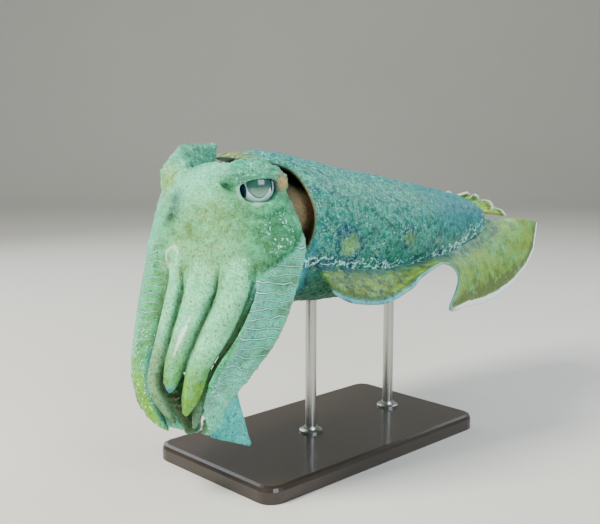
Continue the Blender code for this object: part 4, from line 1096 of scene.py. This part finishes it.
def measureSkin(places):
    # what the masks go by at every point of the skin: forms, ways along them and soft noises
    kinds, wayA, wayB = nearestFacts(places).T
    turn, depth = bundleTurn(places)
    angle, degrees = mantleAngle(places), np.degrees(turn)
    x, y, z = places.T
    corners = [eyePlace(places, sign)[:, 0] for sign in sides.values()]
    tipWay, toEdge = np.zeros(len(places)), np.full(len(places), 0.05)
    for kind, spec in zip(armKinds, arms.values()):
        tipWay = np.where(kinds == kind, armWay(spec, z), tipWay)
    for side, sign in sides.items():
        onFin = kinds == fins[side]["kind"]
        free = along(np.array(fins[side]["edge"]) * np.array([sign, 1.0, 1.0]), wayA[onFin])
        toEdge[onFin] = (1 - wayB[onFin]) * np.linalg.norm(free - finRoot(side, wayA[onFin]), axis=1)
    at = {"x": x, "y": y, "z": z, "side": np.abs(x), "wayA": wayA, "wayB": wayB, "aside": np.abs(wayA),
          "turn": turn, "depth": depth, "degrees": degrees, "away": np.abs(degrees), "angle": angle,
          "over": np.sin(angle), "lowTurn": np.arctan2(np.sin(angle), np.abs(np.cos(angle))),
          "fromRim": y - mantleRim(angle), "shell": mantleShell(places), "around": eyeDistance(places),
          "cornerWay": np.where(x > 0, *corners), "tipWay": tipWay, "toEdge": toEdge,
          "overWeb": z - follow(relief["webTop"], np.clip(np.abs(degrees), 60, 150))}
    at.update({name: np.isin(kinds, group) * 1.0 for name, group in groups.items()})
    at.update({name: noiseAt(places, *marks[name]) for name in ("wander", "blur", "brown")})
    at["gap"] = np.where(at["inMantle"] > 0, rootGap(places), 0.04)
    at["front"] = at["cornerWay"] < 0
    at["inside"] = mask(at, "insideShell") * (y < 0.05)
    for name, factors in joined.items():
        at[name] = mask(at, factors)
    return at


def addMarks(places, at):
    # masks with a form of their own: blotches, tongue, nets, creases, ring and sliver
    wander, blur, z = at["wander"], at["blur"], at["z"]
    for name in ("cheek", "browYellow", "caps", "spots"):
        at[name] = sum(bell(distanceTo(places, centre), radius) for centre, radius in marks[name])
    at["blotch"], at["ring"] = np.zeros(len(places)), np.zeros(len(places))
    ringPlace, ringHalf = marks["blotchRing"]
    for centre, radius in marks["gold"]:
        reach = distanceTo(places, centre) / radius + 0.30 * blur
        at["blotch"] = np.maximum(at["blotch"], ease(reach, *marks["blotch"]))
        ring = bell(reach - ringPlace, ringHalf) * np.clip(1.0 + 1.3 * wander, 0, 1)
        at["ring"] = np.maximum(at["ring"], ring)
    fromTop = wrapAngle(at["angle"] - math.pi / 2)
    at["tongue"] = bell(fromTop, marks["tongueHalf"]) * mask(at, "tongueTip mantle")
    at["stripes"] = at["tongue"] * (np.sin(at["x"] * 2 * math.pi / marks["stripePitch"] + 2 * wander) > 0.1)
    # the blue along the mantle's top ridge is painted light, blue light from above on the upward-facing skin;
    # the blue of the rear flank is the skin's own
    at["bluish"] = np.clip(0.75 * mask(at, "ridge") + 1.10 * at["rear"] + 0.45 * wander, 0, 1)
    at["greenish"] = np.clip((1.1 - 0.35 * blur) * at["cheek"] + 0.35 * mask(at, "cheekFront chin"), 0, 1)
    at["torn"], at["broken"] = np.clip(0.75 + 0.8 * blur, 0, 1), np.clip(0.60 + 1.4 * wander, 0, 1)
    at["mantleNet"] = mask(at, "mantle 1-strip 1-tongue") * (1 - 0.70 * at["rear"])
    at["headNet"] = at["head"] * (1 - 0.6 * at["cheek"])
    at["innerGap"] = at["toEdge"] / (1 + at["rearLobe"])
    at["webRim"] = mask(at, "arm4Left webEdge leftWebRim") + mask(at, "arm4Right webEdge rightWebRim")
    centre, radius = marks["smudge"]
    at["smudged"] = (at["head"] * bell(distanceTo(places, centre, marks["roundSquash"]), radius)
                     * np.clip(0.9 + blur, 0, 1))
    # the grooves between the arms, which take painted shade
    at["crease"] = creaseLines(at["turn"], z, marks["crease"])
    at["orangeLobe"] = np.clip(sum(nearOrange(eyePlace(places, sign)) for sign in sides.values()) * 1.2, 0, 1)
    centre, radius = marks["ring"]
    fromRing = distanceTo(places, centre, marks["roundSquash"]) + marks["ringShiver"] * blur - radius
    at["ringMark"] = bell(fromRing, marks["ringLine"])
    turn, level, half = marks["sliver"]
    (sway, waves), (sharp, width) = marks["sliverSway"], marks["sliverNarrow"]
    bent = turn + sway * np.sin((z - level) * waves)
    narrow = np.sqrt(np.clip(1 - ((z - level) / half) ** 2, 0.02, 1))
    at["sliver"] = bell((at["turn"] - bent) * sharp, width * narrow) * (np.abs(z - level) < half)


def addLayers(piece, values):
    for name, value in values.items():
        layer = piece.data.attributes.new(name, "FLOAT", "POINT")
        layer.data.foreach_set("value", np.asarray(value, np.float32))


def paintSkin(body):
    places = vertexArray(body)
    at = measureSkin(places)
    addMarks(places, at)
    paint = {name: sum(strength * mask(at, names) for strength, names in terms)
             for name, terms in recipes.items()}
    for name in clipped:
        paint[name] = np.clip(paint[name], 0, 1)
    paint["barPhase"] = barPhase(places, at["turn"])
    # in millimetres; both lines are wider towards the rear
    paint["rootGap"] = at["gap"] * 1000 / (1 + 0.9 * mask(at, "rearLine"))
    edgeGap = np.where(at["fin"] > 0, at["toEdge"] / (1 + 0.9 * at["rearLobe"]), 0.05)
    paint["edgeGap"] = np.minimum(np.where(at["webRim"] > 0.5, 0.0008, 0.05), edgeGap) * 1000
    addLayers(body, paint)


paintSkin(body)

print("skin material")
# Living skin under a wet film, as a painted silicone cast shows it: soft, slightly see-through, with
# a satin gloss. Chromatophores are dots near 1 mm, and the pale lines are a little under 1 mm wide
# shade is the colour of both the painted shade in gaps and grooves and the skin's dark marks
skinColours = {
    "sage": "#4AC486", "sageDark": "#1E8556", "teal": "#045F56", "tealLight": "#12A68C", "blue": "#007C86",
    "gold": "#8DB03A", "olive": "#566C20", "lime": "#76B832", "green": "#0A7C4A", "rose": "#7A9A6C",
    "recess": "#8C7458", "cream": "#88F0B4", "pale": "#6EEAC8", "lilac": "#62A69E", "lightBlue": "#34B4C4",
    "navy": "#04405E", "belly": "#0A5034", "orange": "#CF8A34", "mint": "#A2F0D6", "white": "#EFFFF8",
    "aqua": "#C4FFF0", "dot": "#0C4229", "shade": "#0F3424",
}
# broad washes in the order they are laid, each with how far it is broken up as pigment lies in it
washes = {"teal": 0.3, "blue": 1.5, "green": 1.6, "cream": 1.6, "pale": 1.8, "lilac": 0.8, "lime": 1.6,
          "rose": 0.8, "belly": 0.6, "gold": 1.4, "olive": 2.2, "lightBlue": 1.0, "navy": 2.6, "orange": 1.0,
          "recess": 0.2}
# fine patterns, with their lumps or lines per metre: 120 is one every 8 mm, 520 one every 2 mm
grains = {
    "cloud": {"Scale": 120.0, "Detail": 4.0, "Roughness": 0.65},
    "fleck": {"Scale": 420.0, "Detail": 3.0, "Roughness": 0.7},
    "curl": {"Scale": 150.0, "Detail": 2.0, "Roughness": 0.55, "Distortion": 1.3},
    "patch": {"Scale": 260.0, "Detail": 1.0}, "shiver": {"Scale": 110.0, "Detail": 1.0},
    "wobble": {"Scale": 75.0, "Detail": 2.0, "Distortion": 0.6}, "wander": {"Scale": 200.0, "Detail": 2.0},
}
cellScale = {"wrinkle": 240.0, "dot": 520.0, "bead": 430.0}


def layWashes(add, cloud, patchy):
    tones = {tone: colour(text) for tone, text in skinColours.items()}
    base = add("Mix", {"data_type": "RGBA", 0: patchy, 6: tones["sage"], 7: tones["sageDark"]}, 2)
    tones["teal"] = add("Mix", {"data_type": "RGBA", 0: patchy, 6: tones["teal"], 7: tones["tealLight"]}, 2)
    for tone, breakUp in washes.items():
        share = add("Attribute", {"attribute_name": tone}, "Fac")
        torn = add("Math", {"operation": "MULTIPLY_ADD", 0: cloud, 1: 2 * breakUp, 2: 1 - breakUp})
        amount = add("Math", {"operation": "MULTIPLY", "use_clamp": True, 0: torn, 1: share})
        base = add("Mix", {"data_type": "RGBA", 0: amount, 6: base, 7: tones[tone]}, 2)
    return base


def drawRootLine(add, wobble, gapHere, broken):
    # a bright broken line of two strands that wander about the fins' roots, in millimetres
    wobble = add("Math", {"operation": "MULTIPLY_ADD", 0: wobble, 1: 34.0, 2: -22.0})
    strands = []
    for sign, middle in ((1.0, 0.0), (-1.0, -11.0)):
        strand = add("Math", {"operation": "MULTIPLY_ADD", 0: wobble, 1: sign, 2: middle})
        strand = add("Math", {"operation": "ADD", 0: gapHere, 1: strand})
        strands.append(add("Math", {"operation": "ABSOLUTE", 0: strand}))
    line = add("Math", {"operation": "MINIMUM", 0: strands[0], 1: strands[1]})
    line = add("MapRange", {"From Min": 0.95, "From Max": 0.4, "Value": line})
    return add("Math", {"operation": "MULTIPLY", 0: line, 1: broken})


def makeSkinMaterial():
    made, add, shader = newMaterial("wetSkin")
    place = add("TexCoord", {}, "Object")
    layer = {name: add("Attribute", {"attribute_name": name}, "Fac")
             for name in ("net", "barPhase", "bars", "rootGap", "edgeGap", "edgeWhite", "white", "dots",
                          "shade")}
    grain = {name: add("TexNoise", {**settings, "Vector": place}) for name, settings in grains.items()}
    cloud, fleck, patch = grain["cloud"], grain["fleck"], grain["patch"]
    base = layWashes(add, cloud, add("MapRange", {"From Min": 0.38, "From Max": 0.66, "Value": cloud}))

    # short wandering pale lines, 0.8 mm wide and 3 mm apart
    curl = add("Math", {"operation": "PINGPONG", 0: grain["curl"], 1: 0.042})
    curl = add("MapRange", {"From Min": 0.025, "From Max": 0.038, "Value": curl})
    broken = add("MapRange", {"From Min": 0.36, "From Max": 0.46, "Value": patch})
    patch = add("MapRange", {"From Min": 0.40, "From Max": 0.52, "Value": patch})
    net = add("Math", {"operation": "MULTIPLY", 0: curl, 1: layer["net"]})
    net = add("Math", {"operation": "MULTIPLY", 0: net, 1: patch})

    # thin pale bars across the fourth arms, each with a dark border
    phase = add("Math", {"operation": "MULTIPLY_ADD", 0: grain["shiver"], 1: 0.55, 2: layer["barPhase"]})
    phase = add("Math", {"operation": "PINGPONG", 0: phase, 1: 0.5})
    stripe = add("MapRange", {"From Min": 0.445, "From Max": 0.475, "Value": phase})
    border = add("MapRange", {"From Min": 0.33, "From Max": 0.42, "To Max": 0.75, "Value": phase})
    bar, border = (add("Math", {"operation": "MULTIPLY", 0: part, 1: layer["bars"]})
                   for part in (stripe, border))

    # the bright broken line along the fins' roots, and the fins' pale margin
    line = drawRootLine(add, grain["wobble"], layer["rootGap"], broken)
    margin = add("MapRange", {"From Min": 3.8, "From Max": 2.9, "Value": layer["edgeGap"]})
    margin = add("Math", {"operation": "MULTIPLY", 0: margin, 1: layer["edgeWhite"]})

    # fine wrinkles 4 mm apart, darkened with painted shade in their creases, dark chromatophore dots, and
    # pale beads on the cheek and arms
    wander = grain["wander"].node.outputs["Color"]
    bent = add("VectorMath", {"operation": "MULTIPLY_ADD", 0: wander, 1: (0.008, 0.008, 0.008), 2: place})
    wrinkle = add("TexVoronoi", {"feature": "DISTANCE_TO_EDGE", "Scale": cellScale["wrinkle"],
                                 "Vector": bent}, "Distance")
    wrinkle = add("MapRange", {"From Min": 0.07, "From Max": 0.0, "Value": wrinkle})
    wrinkle = add("Math", {"operation": "MULTIPLY", 0: wrinkle, 1: cloud})
    # painted shade in the wrinkles' creases
    wrinkleShade = add("Math", {"operation": "MULTIPLY", 0: wrinkle, 1: 0.7})
    mottle = add("MapRange", {"From Min": 0.55, "From Max": 0.68, "To Max": 0.75, "Value": fleck})
    dot = add("TexVoronoi", {"Scale": cellScale["dot"], "Randomness": 1.0, "Vector": place}, "Distance")
    dot = add("MapRange", {"From Min": 0.36, "From Max": 0.20, "To Max": 0.60, "Value": dot})
    dot = add("Math", {"operation": "MULTIPLY", 0: dot, 1: cloud})
    bead = add("TexVoronoi", {"Scale": cellScale["bead"], "Randomness": 1.0, "Vector": bent}, "Distance")
    chosen = add("SeparateColor", {0: bead.node.outputs["Color"]})
    chosen = add("Math", {"operation": "GREATER_THAN", 0: chosen, 1: 0.66})
    beads = add("MapRange", {"From Min": 0.38, "From Max": 0.26, "Value": bead})
    for share in (chosen, layer["dots"]):
        beads = add("Math", {"operation": "MULTIPLY", 0: beads, 1: share})
    for share, tone in ((wrinkleShade, "dot"), (mottle, "dot"), (dot, "dot"), (net, "mint"), (border, "navy"),
                       (bar, "aqua"), (layer["shade"], "shade"), (line, "aqua"), (margin, "white"),
                       (layer["white"], "white"), (beads, "aqua")):
        base = add("Mix", {"data_type": "RGBA", 0: share, 6: base, 7: colour(skinColours[tone])}, 2)

    # fine relief: pebbled skin, sunk wrinkles, raised lines, bars and beads
    height = add("Math", {"operation": "MULTIPLY", 0: fleck, 1: 0.9})
    for source, rise in ((wrinkle, -0.8), (net, 0.55), (bar, 0.9), (line, 0.6), (beads, 1.0)):
        height = add("Math", {"operation": "MULTIPLY_ADD", 0: source, 1: rise, 2: height})
    setNode(shader, {
        "Base Color": base, "Normal": add("Bump", {"Strength": 0.75, "Distance": 0.0007, "Height": height}),
        "Roughness": add("MapRange", {"To Min": 0.30, "To Max": 0.52, "Value": cloud}), "IOR": 1.36,
        "Subsurface Weight": 0.15, "Subsurface Radius": (0.9, 1.0, 0.8), "Subsurface Scale": 0.0012})
    return made


def settle(piece):
    # lifts a finished mesh to its place, and lets it ride on the part
    piece.data.transform(Matrix.Translation(lift))
    piece.data.shade_smooth()
    piece.data.update()
    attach(piece, "root")


body.data.materials.clear()
body.data.materials.append(makeSkinMaterial())
settle(body)
flesh = [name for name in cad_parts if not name.startswith(("stand_", "eye_"))]
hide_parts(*flesh)

print("suckers")
suckers = {
    "rows": 24, "places": (-0.54, -0.18, 0.18, 0.54), "webHalf": 0.2604, "armHalf": 0.8,
    "radius": 0.0021, "height": 0.0019, "sides": 8, "foot": (0.62, -0.9),
    # rise and growth of each ring of a cup: stalk, swollen rim, dimple
    "rings": [(0.9, 1.10), (0.5, 1.42), (0.45, 0.92), (-0.10, 0.72), (-0.45, 0.70)],
    "top": -0.048, "shrink": 0.62, "sizes": (0.92, 1.08), "stagger": 0.001, "sunk": 0.0006, "seed": 11,
}


def makeSuckerCup():
    mesh = bmesh.new()
    radius, level = suckers["foot"]
    bmesh.ops.create_circle(mesh, segments=suckers["sides"], radius=radius)
    bmesh.ops.translate(mesh, vec=(0, 0, level), verts=mesh.verts)
    edges = list(mesh.edges)
    for rise, size in suckers["rings"]:
        grown = bmesh.ops.extrude_edge_only(mesh, edges=edges)["geom"]
        ring = [item for item in grown if isinstance(item, bmesh.types.BMVert)]
        edges = [item for item in grown if isinstance(item, bmesh.types.BMEdge)]
        bmesh.ops.translate(mesh, vec=(0, 0, rise), verts=ring)
        bmesh.ops.scale(mesh, vec=(size, size, 1.0), verts=ring)
    bmesh.ops.holes_fill(mesh, edges=mesh.edges, sides=suckers["sides"])
    bmesh.ops.recalc_face_normals(mesh, faces=mesh.faces)
    return mesh


def suckerPlaces(spec, draw):
    # place and size of each sucker down the inner face of an arm, four across
    top, tip = suckers["top"], spec["edges"][0][0]
    tipStart = armShape["webTipStart" if spec["web"] else "tipStart"]
    for index in range(suckers["rows"]):
        way = (index + 0.7) / (suckers["rows"] + 0.2)
        z = top + (tip - top) * way
        size = (1.0 - suckers["shrink"] * way) * draw.uniform(*suckers["sizes"])
        middle, spread = armSpan(spec, z)
        t = float(armWay(spec, z))
        closing = math.sqrt(1 - max((t - tipStart) / (1 - tipStart), 0.0) ** 2)
        for number, place in enumerate(suckers["places"]):
            across = place * suckers["armHalf"]
            if spec["web"]:
                across = armShape["webArmPlace"] + place * suckers["webHalf"]
            outer, inner = armDepths(spec, t, np.float64(across))
            inner = (outer + inner) / 2 + (inner - outer) / 2 * closing
            level = z + (suckers["stagger"] if number % 2 else 0.0)
            spot = bundlePoint(level, middle + spread * across * closing, float(inner) - suckers["sunk"])
            yield z, Vector(spot), size


def makeSuckers():
    cup = bpy.data.meshes.new("cup")
    template = makeSuckerCup()
    template.to_mesh(cup)
    template.free()
    draw = random.Random(suckers["seed"])
    whole = bmesh.new()
    for spec in arms.values():
        for z, spot, size in suckerPlaces(spec, draw):
            inward = Vector((0, float(follow(bundle["axisY"], z)), z)) - spot
            inward.z = 0
            turn = inward.to_track_quat("Z", "Y").to_matrix().to_4x4()
            scale = Matrix.Diagonal((suckers["radius"] * size, suckers["radius"] * size,
                                     suckers["height"] * size, 1.0))
            start = len(whole.verts)
            whole.from_mesh(cup)
            whole.verts.ensure_lookup_table()
            bmesh.ops.transform(whole, matrix=Matrix.Translation(spot) @ turn @ scale,
                                verts=whole.verts[start:])
    return whole


# horny ring in soft flesh: ivory rim, wet gloss, clouds 3 mm apart
suckerFlesh = makeGrained("suckerFlesh", {"Scale": 300.0, "Detail": 3.0}, ("#7F7A5C", "#A8A584"), {
    "Roughness": 0.34, "Bump": (0.3, 0.0002), "Subsurface Weight": 0.15, "Subsurface Scale": 0.001})
suckerPiece = makeObject("suckers", makeSuckers(), suckerFlesh)
settle(suckerPiece)
print("  suckers have", len(suckerPiece.data.polygons), "faces")

print("eyes")
iris = {
    "radius": 0.01525, "hood": 0.0007, "pupil": 0.0009, "columns": 140, "rows": 100,
    "hoodHalf": 0.0092, "hoodDrop": -0.0076, "hoodCurve": 0.0080, "soft": 0.0004, "line": 0.0017,
    # each well of the pupil: place along and up, half width and half height
    "wells": [(0.0130, -0.0020, 0.0032, 0.0084), (-0.0104, 0.0012, 0.0014, 0.0070)],
    "band": (-0.0134, 0.0016),       # blue band behind the rear well, and its half width
    # three quarters of the rows lie on the front, up to this angle from the line of sight
    "frontRows": 0.75, "frontTilt": math.radians(80), "flatFrom": math.radians(88),
    "flatTo": math.radians(70), "hoodShade": (-0.009, 0.005),
}


def irisForms(a, b):
    # the hood of skin over the pupil, and the pupil's two wells and the slit that joins them
    half, soft, line = iris["hoodHalf"], iris["soft"], iris["line"]
    lower = iris["hoodDrop"] + iris["hoodCurve"] * (a / half) ** 2
    hood = ease(b - lower, -soft / 2, soft) * ease(np.abs(a), half + soft, half - soft)
    wells = sum(ease(np.hypot((a - place) / width, (b - level) / tall), 1.10, 0.80)
                for place, level, width, tall in iris["wells"])
    slit = ease(np.abs(b - lower + line * 0.5), line * 0.55, line * 0.25) * (np.abs(a) < half)
    return hood, np.clip(wells + 0.85 * slit, 0, 1) * (1 - hood)


def makeEye(sign):
    centre, out, slantAlong, slantUp = (np.array(item) for item in eyeFrame(sign))
    share, front = iris["frontRows"], iris["frontTilt"]

    def surface(u, v):
        turn = u * 2 * math.pi
        tilt = np.where(v < share, v / share * front, front + (v - share) / (1 - share) * (math.pi - front))
        a = iris["radius"] * np.sin(tilt) * np.cos(turn)
        b = iris["radius"] * np.sin(tilt) * np.sin(turn)
        hood, pupil = irisForms(a, b)
        radius = iris["radius"] + (iris["hood"] * hood - iris["pupil"] * pupil) * ease(
            tilt, iris["flatFrom"], iris["flatTo"])
        return centre + (np.outer(a, slantAlong) + np.outer(b, slantUp)
                         + np.outer(iris["radius"] * np.cos(tilt), out)) * (radius / iris["radius"])[:, None]
    return bentGrid(iris["columns"], iris["rows"], surface)


def makeEyeMaterial():
    # wet cornea over a silvery white, a blue-black pupil and a grey-green hood, darker at its top with
    # painted shade under the upper lid; specks 2 mm apart
    made, add, shader = newMaterial("wetEye")
    cloud = add("TexNoise", {"Scale": 520.0, "Detail": 4.0, "Vector": add("TexCoord", {}, "Object")})
    layer = {name: add("Attribute", {"attribute_name": name}, "Fac")
             for name in ("band", "hood", "pupil", "rise")}
    tint = add("Mix", {"data_type": "RGBA", 0: cloud, 6: colour("#A6D6E2"), 7: colour("#EEFBF8")}, 2)
    level = add("Math", {"operation": "MULTIPLY_ADD", 0: cloud, 1: 0.35, 2: layer["rise"]})
    hoodToneAndShade = add("Mix", {"data_type": "RGBA", 0: level, 6: colour("#86B89A"), 7: colour("#1F5046")}, 2)
    for part, tone in (("band", colour("#2F8DB4")), ("hood", hoodToneAndShade), ("pupil", colour("#08294A"))):
        tint = add("Mix", {"data_type": "RGBA", 0: layer[part], 6: tint, 7: tone}, 2)
    setNode(shader, {
        "Base Color": tint, "Normal": add("Bump", {"Strength": 0.25, "Distance": 0.0002, "Height": cloud}),
        "Roughness": 0.25, "IOR": 1.38, "Coat Weight": 1.0, "Coat Roughness": 0.03})
    return made


wetEye = makeEyeMaterial()
for side, sign in sides.items():
    ball = makeObject("eye" + side.capitalize(), makeEye(sign), wetEye)
    spot = eyePlace(vertexArray(ball), sign)
    scale = iris["radius"] / np.linalg.norm(spot, axis=1)
    hood, pupil = irisForms(spot[:, 0] * scale, spot[:, 1] * scale)
    bandPlace, bandHalf = iris["band"]
    isFront = spot[:, 2] > 0
    addLayers(ball, {"hood": hood * isFront, "pupil": pupil * isFront,
                     "band": bell(spot[:, 0] - bandPlace, bandHalf) * isFront,
                     # rise carries the painted shade on the hood's upper part
                     "rise": ease(spot[:, 1], *iris["hoodShade"]) * isFront})
    settle(ball)
    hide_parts("eye_" + side)

print("stand")
stand = {
    "rodRadius": 0.0050, "overlap": 0.0004, "sunk": 0.0003, "collarRadius": 0.0105, "collarHeight": 0.0050,
    # a collar's profile above its foot: how far in from its edge, share of its height
    "profile": [(0.0, 0.35), (0.0012, 0.5), (0.0034, 0.62), (0.0042, 1.0)],
    "steps": 48, "sharp": math.radians(35),
}


def makeCollars():
    # a turned collar round the foot of each rod
    whole = bmesh.new()
    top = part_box("stand_base")[1].z
    inner, outer = stand["rodRadius"] - stand["overlap"], stand["collarRadius"]
    profile = [(inner, -stand["sunk"]), (outer, -stand["sunk"])]
    profile += [(outer - step, stand["collarHeight"] * share) for step, share in stand["profile"]]
    profile.append((inner, stand["collarHeight"]))
    for name in ("stand_rod_front", "stand_rod_rear"):
        low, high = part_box(name)
        centre = (low + high) / 2
        verts = [whole.verts.new((centre.x + reach, centre.y, top + height)) for reach, height in profile]
        edges = [whole.edges.new((verts[index - 1], verts[index])) for index in range(len(verts))]
        bmesh.ops.spin(whole, geom=verts + edges, cent=(centre.x, centre.y, top), axis=(0, 0, 1),
                       angle=2 * math.pi, steps=stand["steps"], use_merge=True)
    bmesh.ops.remove_doubles(whole, verts=whole.verts, dist=1e-6)
    bmesh.ops.recalc_face_normals(whole, faces=whole.faces)
    return whole


# brushed stainless steel: fine scratches round the rod, 0.3 mm apart
steel = makeGrained("brushedStainlessSteel", {"Scale": 3200.0, "Detail": 2.0}, ("#A9A9A6", "#C9C8C4"), {
    "Roughness": (0.22, 0.40), "Bump": (0.12, 0.0001), "Metallic": 1.0}, (0.05, 0.05, 1.0))
# ebonised beech under satin lacquer: fine straight grain seen as faint lines, 1 to 3 mm apart
beechGrain = {"Scale": 420.0, "Detail": 5.0, "Roughness": 0.65}
beech = makeGrained("ebonisedBeech", beechGrain, ("#17120F", "#3A2D26"), {
    "Roughness": (0.26, 0.44), "Bump": (0.15, 0.0003), "Coat Weight": 0.35, "Coat Roughness": 0.12},
    (1.0, 0.06, 1.0))
collars = makeObject("rodCollars", makeCollars(), steel)
collars.data.shade_smooth()
collars.data.set_sharp_from_angle(angle=stand["sharp"])
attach(collars, "root")
for name, finish in (("stand_base", beech), ("stand_rod_front", steel), ("stand_rod_rear", steel)):
    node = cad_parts[name]
    node.data.materials.clear()
    node.data.materials.append(finish)

print("studio")
studio = {
    "floor": ("#C9C8C2", "#CECDC7"), "reach": 3.2, "wall": 2.2, "bend": 0.9, "bendSteps": 12,
    "camera": (0.5606, -0.5721, 0.2952), "azimuth": math.radians(46.0), "elevation": math.radians(9.0),
    "lens": 54.0, "sensor": 36.0, "world": "#DDE4E4", "worldStrength": 0.40,
    # place, size, power and colour of each soft light
    "lights": [((-0.35, -1.15, 1.35), 0.55, 58.0, "#FFF8EC"), ((1.4, -0.2, 0.9), 0.9, 20.0, "#EAF4FF"),
               ((0.3, 1.2, 1.2), 0.9, 16.0, "#F4FBFF"), ((-1.2, 0.1, 0.8), 0.9, 7.0, "#F0F8FF")],
    "aim": (0.0, 0.03, 0.17),
}


def addHolder(data, place, back):
    # a light or camera that looks against the direction back
    holder = bpy.data.objects.new(data.name, data)
    bpy.context.scene.collection.objects.link(holder)
    holder.location = place
    holder.rotation_euler = back.to_track_quat("Z", "Y").to_euler()
    return holder


def makeBackdrop():
    # pale paper sweep: a floor that curves up into a wall, behind the part as the camera sees it
    made = makeGrained("paperSweep", {"Scale": 3.0, "Detail": 2.0}, studio["floor"], {"Roughness": 0.85})
    mesh = bmesh.new()
    bmesh.ops.create_grid(mesh, x_segments=1, y_segments=1, size=studio["reach"])
    far = [edge for edge in mesh.edges if all(vert.co.y > 0 for vert in edge.verts)]
    raised = bmesh.ops.extrude_edge_only(mesh, edges=far)["geom"]
    bmesh.ops.translate(mesh, vec=(0, 0, studio["wall"]),
                        verts=[item for item in raised if isinstance(item, bmesh.types.BMVert)])
    bmesh.ops.bevel(mesh, geom=far, offset=studio["bend"], offset_type="OFFSET", segments=studio["bendSteps"],
                    profile=0.5, affect="EDGES", material=-1)
    bmesh.ops.rotate(mesh, cent=(0, 0, 0), matrix=Matrix.Rotation(studio["azimuth"], 3, "Z"),
                     verts=mesh.verts)
    bmesh.ops.recalc_face_normals(mesh, faces=mesh.faces)
    sweep = makeObject("backdrop", mesh, made)
    sweep.data.shade_smooth()


def makeLights():
    world = bpy.data.worlds.new("studioWorld")
    bpy.context.scene.world = world
    world.use_nodes = True
    setNode(world.node_tree.nodes["Background"], {0: colour(studio["world"]), 1: studio["worldStrength"]})
    for number, (place, size, power, tone) in enumerate(studio["lights"]):
        light = bpy.data.lights.new(f"softbox{number}", "AREA")
        light.shape, light.size, light.energy = "SQUARE", size, power
        light.color = colour(tone)[:3]
        addHolder(light, place, Vector(place) - Vector(studio["aim"]))


def makeCamera():
    camera = bpy.data.cameras.new("camera")
    camera.lens, camera.sensor_width = studio["lens"], studio["sensor"]
    azimuth, elevation = studio["azimuth"], studio["elevation"]
    back = Vector((math.sin(azimuth) * math.cos(elevation), -math.cos(azimuth) * math.cos(elevation),
                   math.sin(elevation)))
    bpy.context.scene.camera = addHolder(camera, studio["camera"], back)


makeBackdrop()
makeLights()
makeCamera()
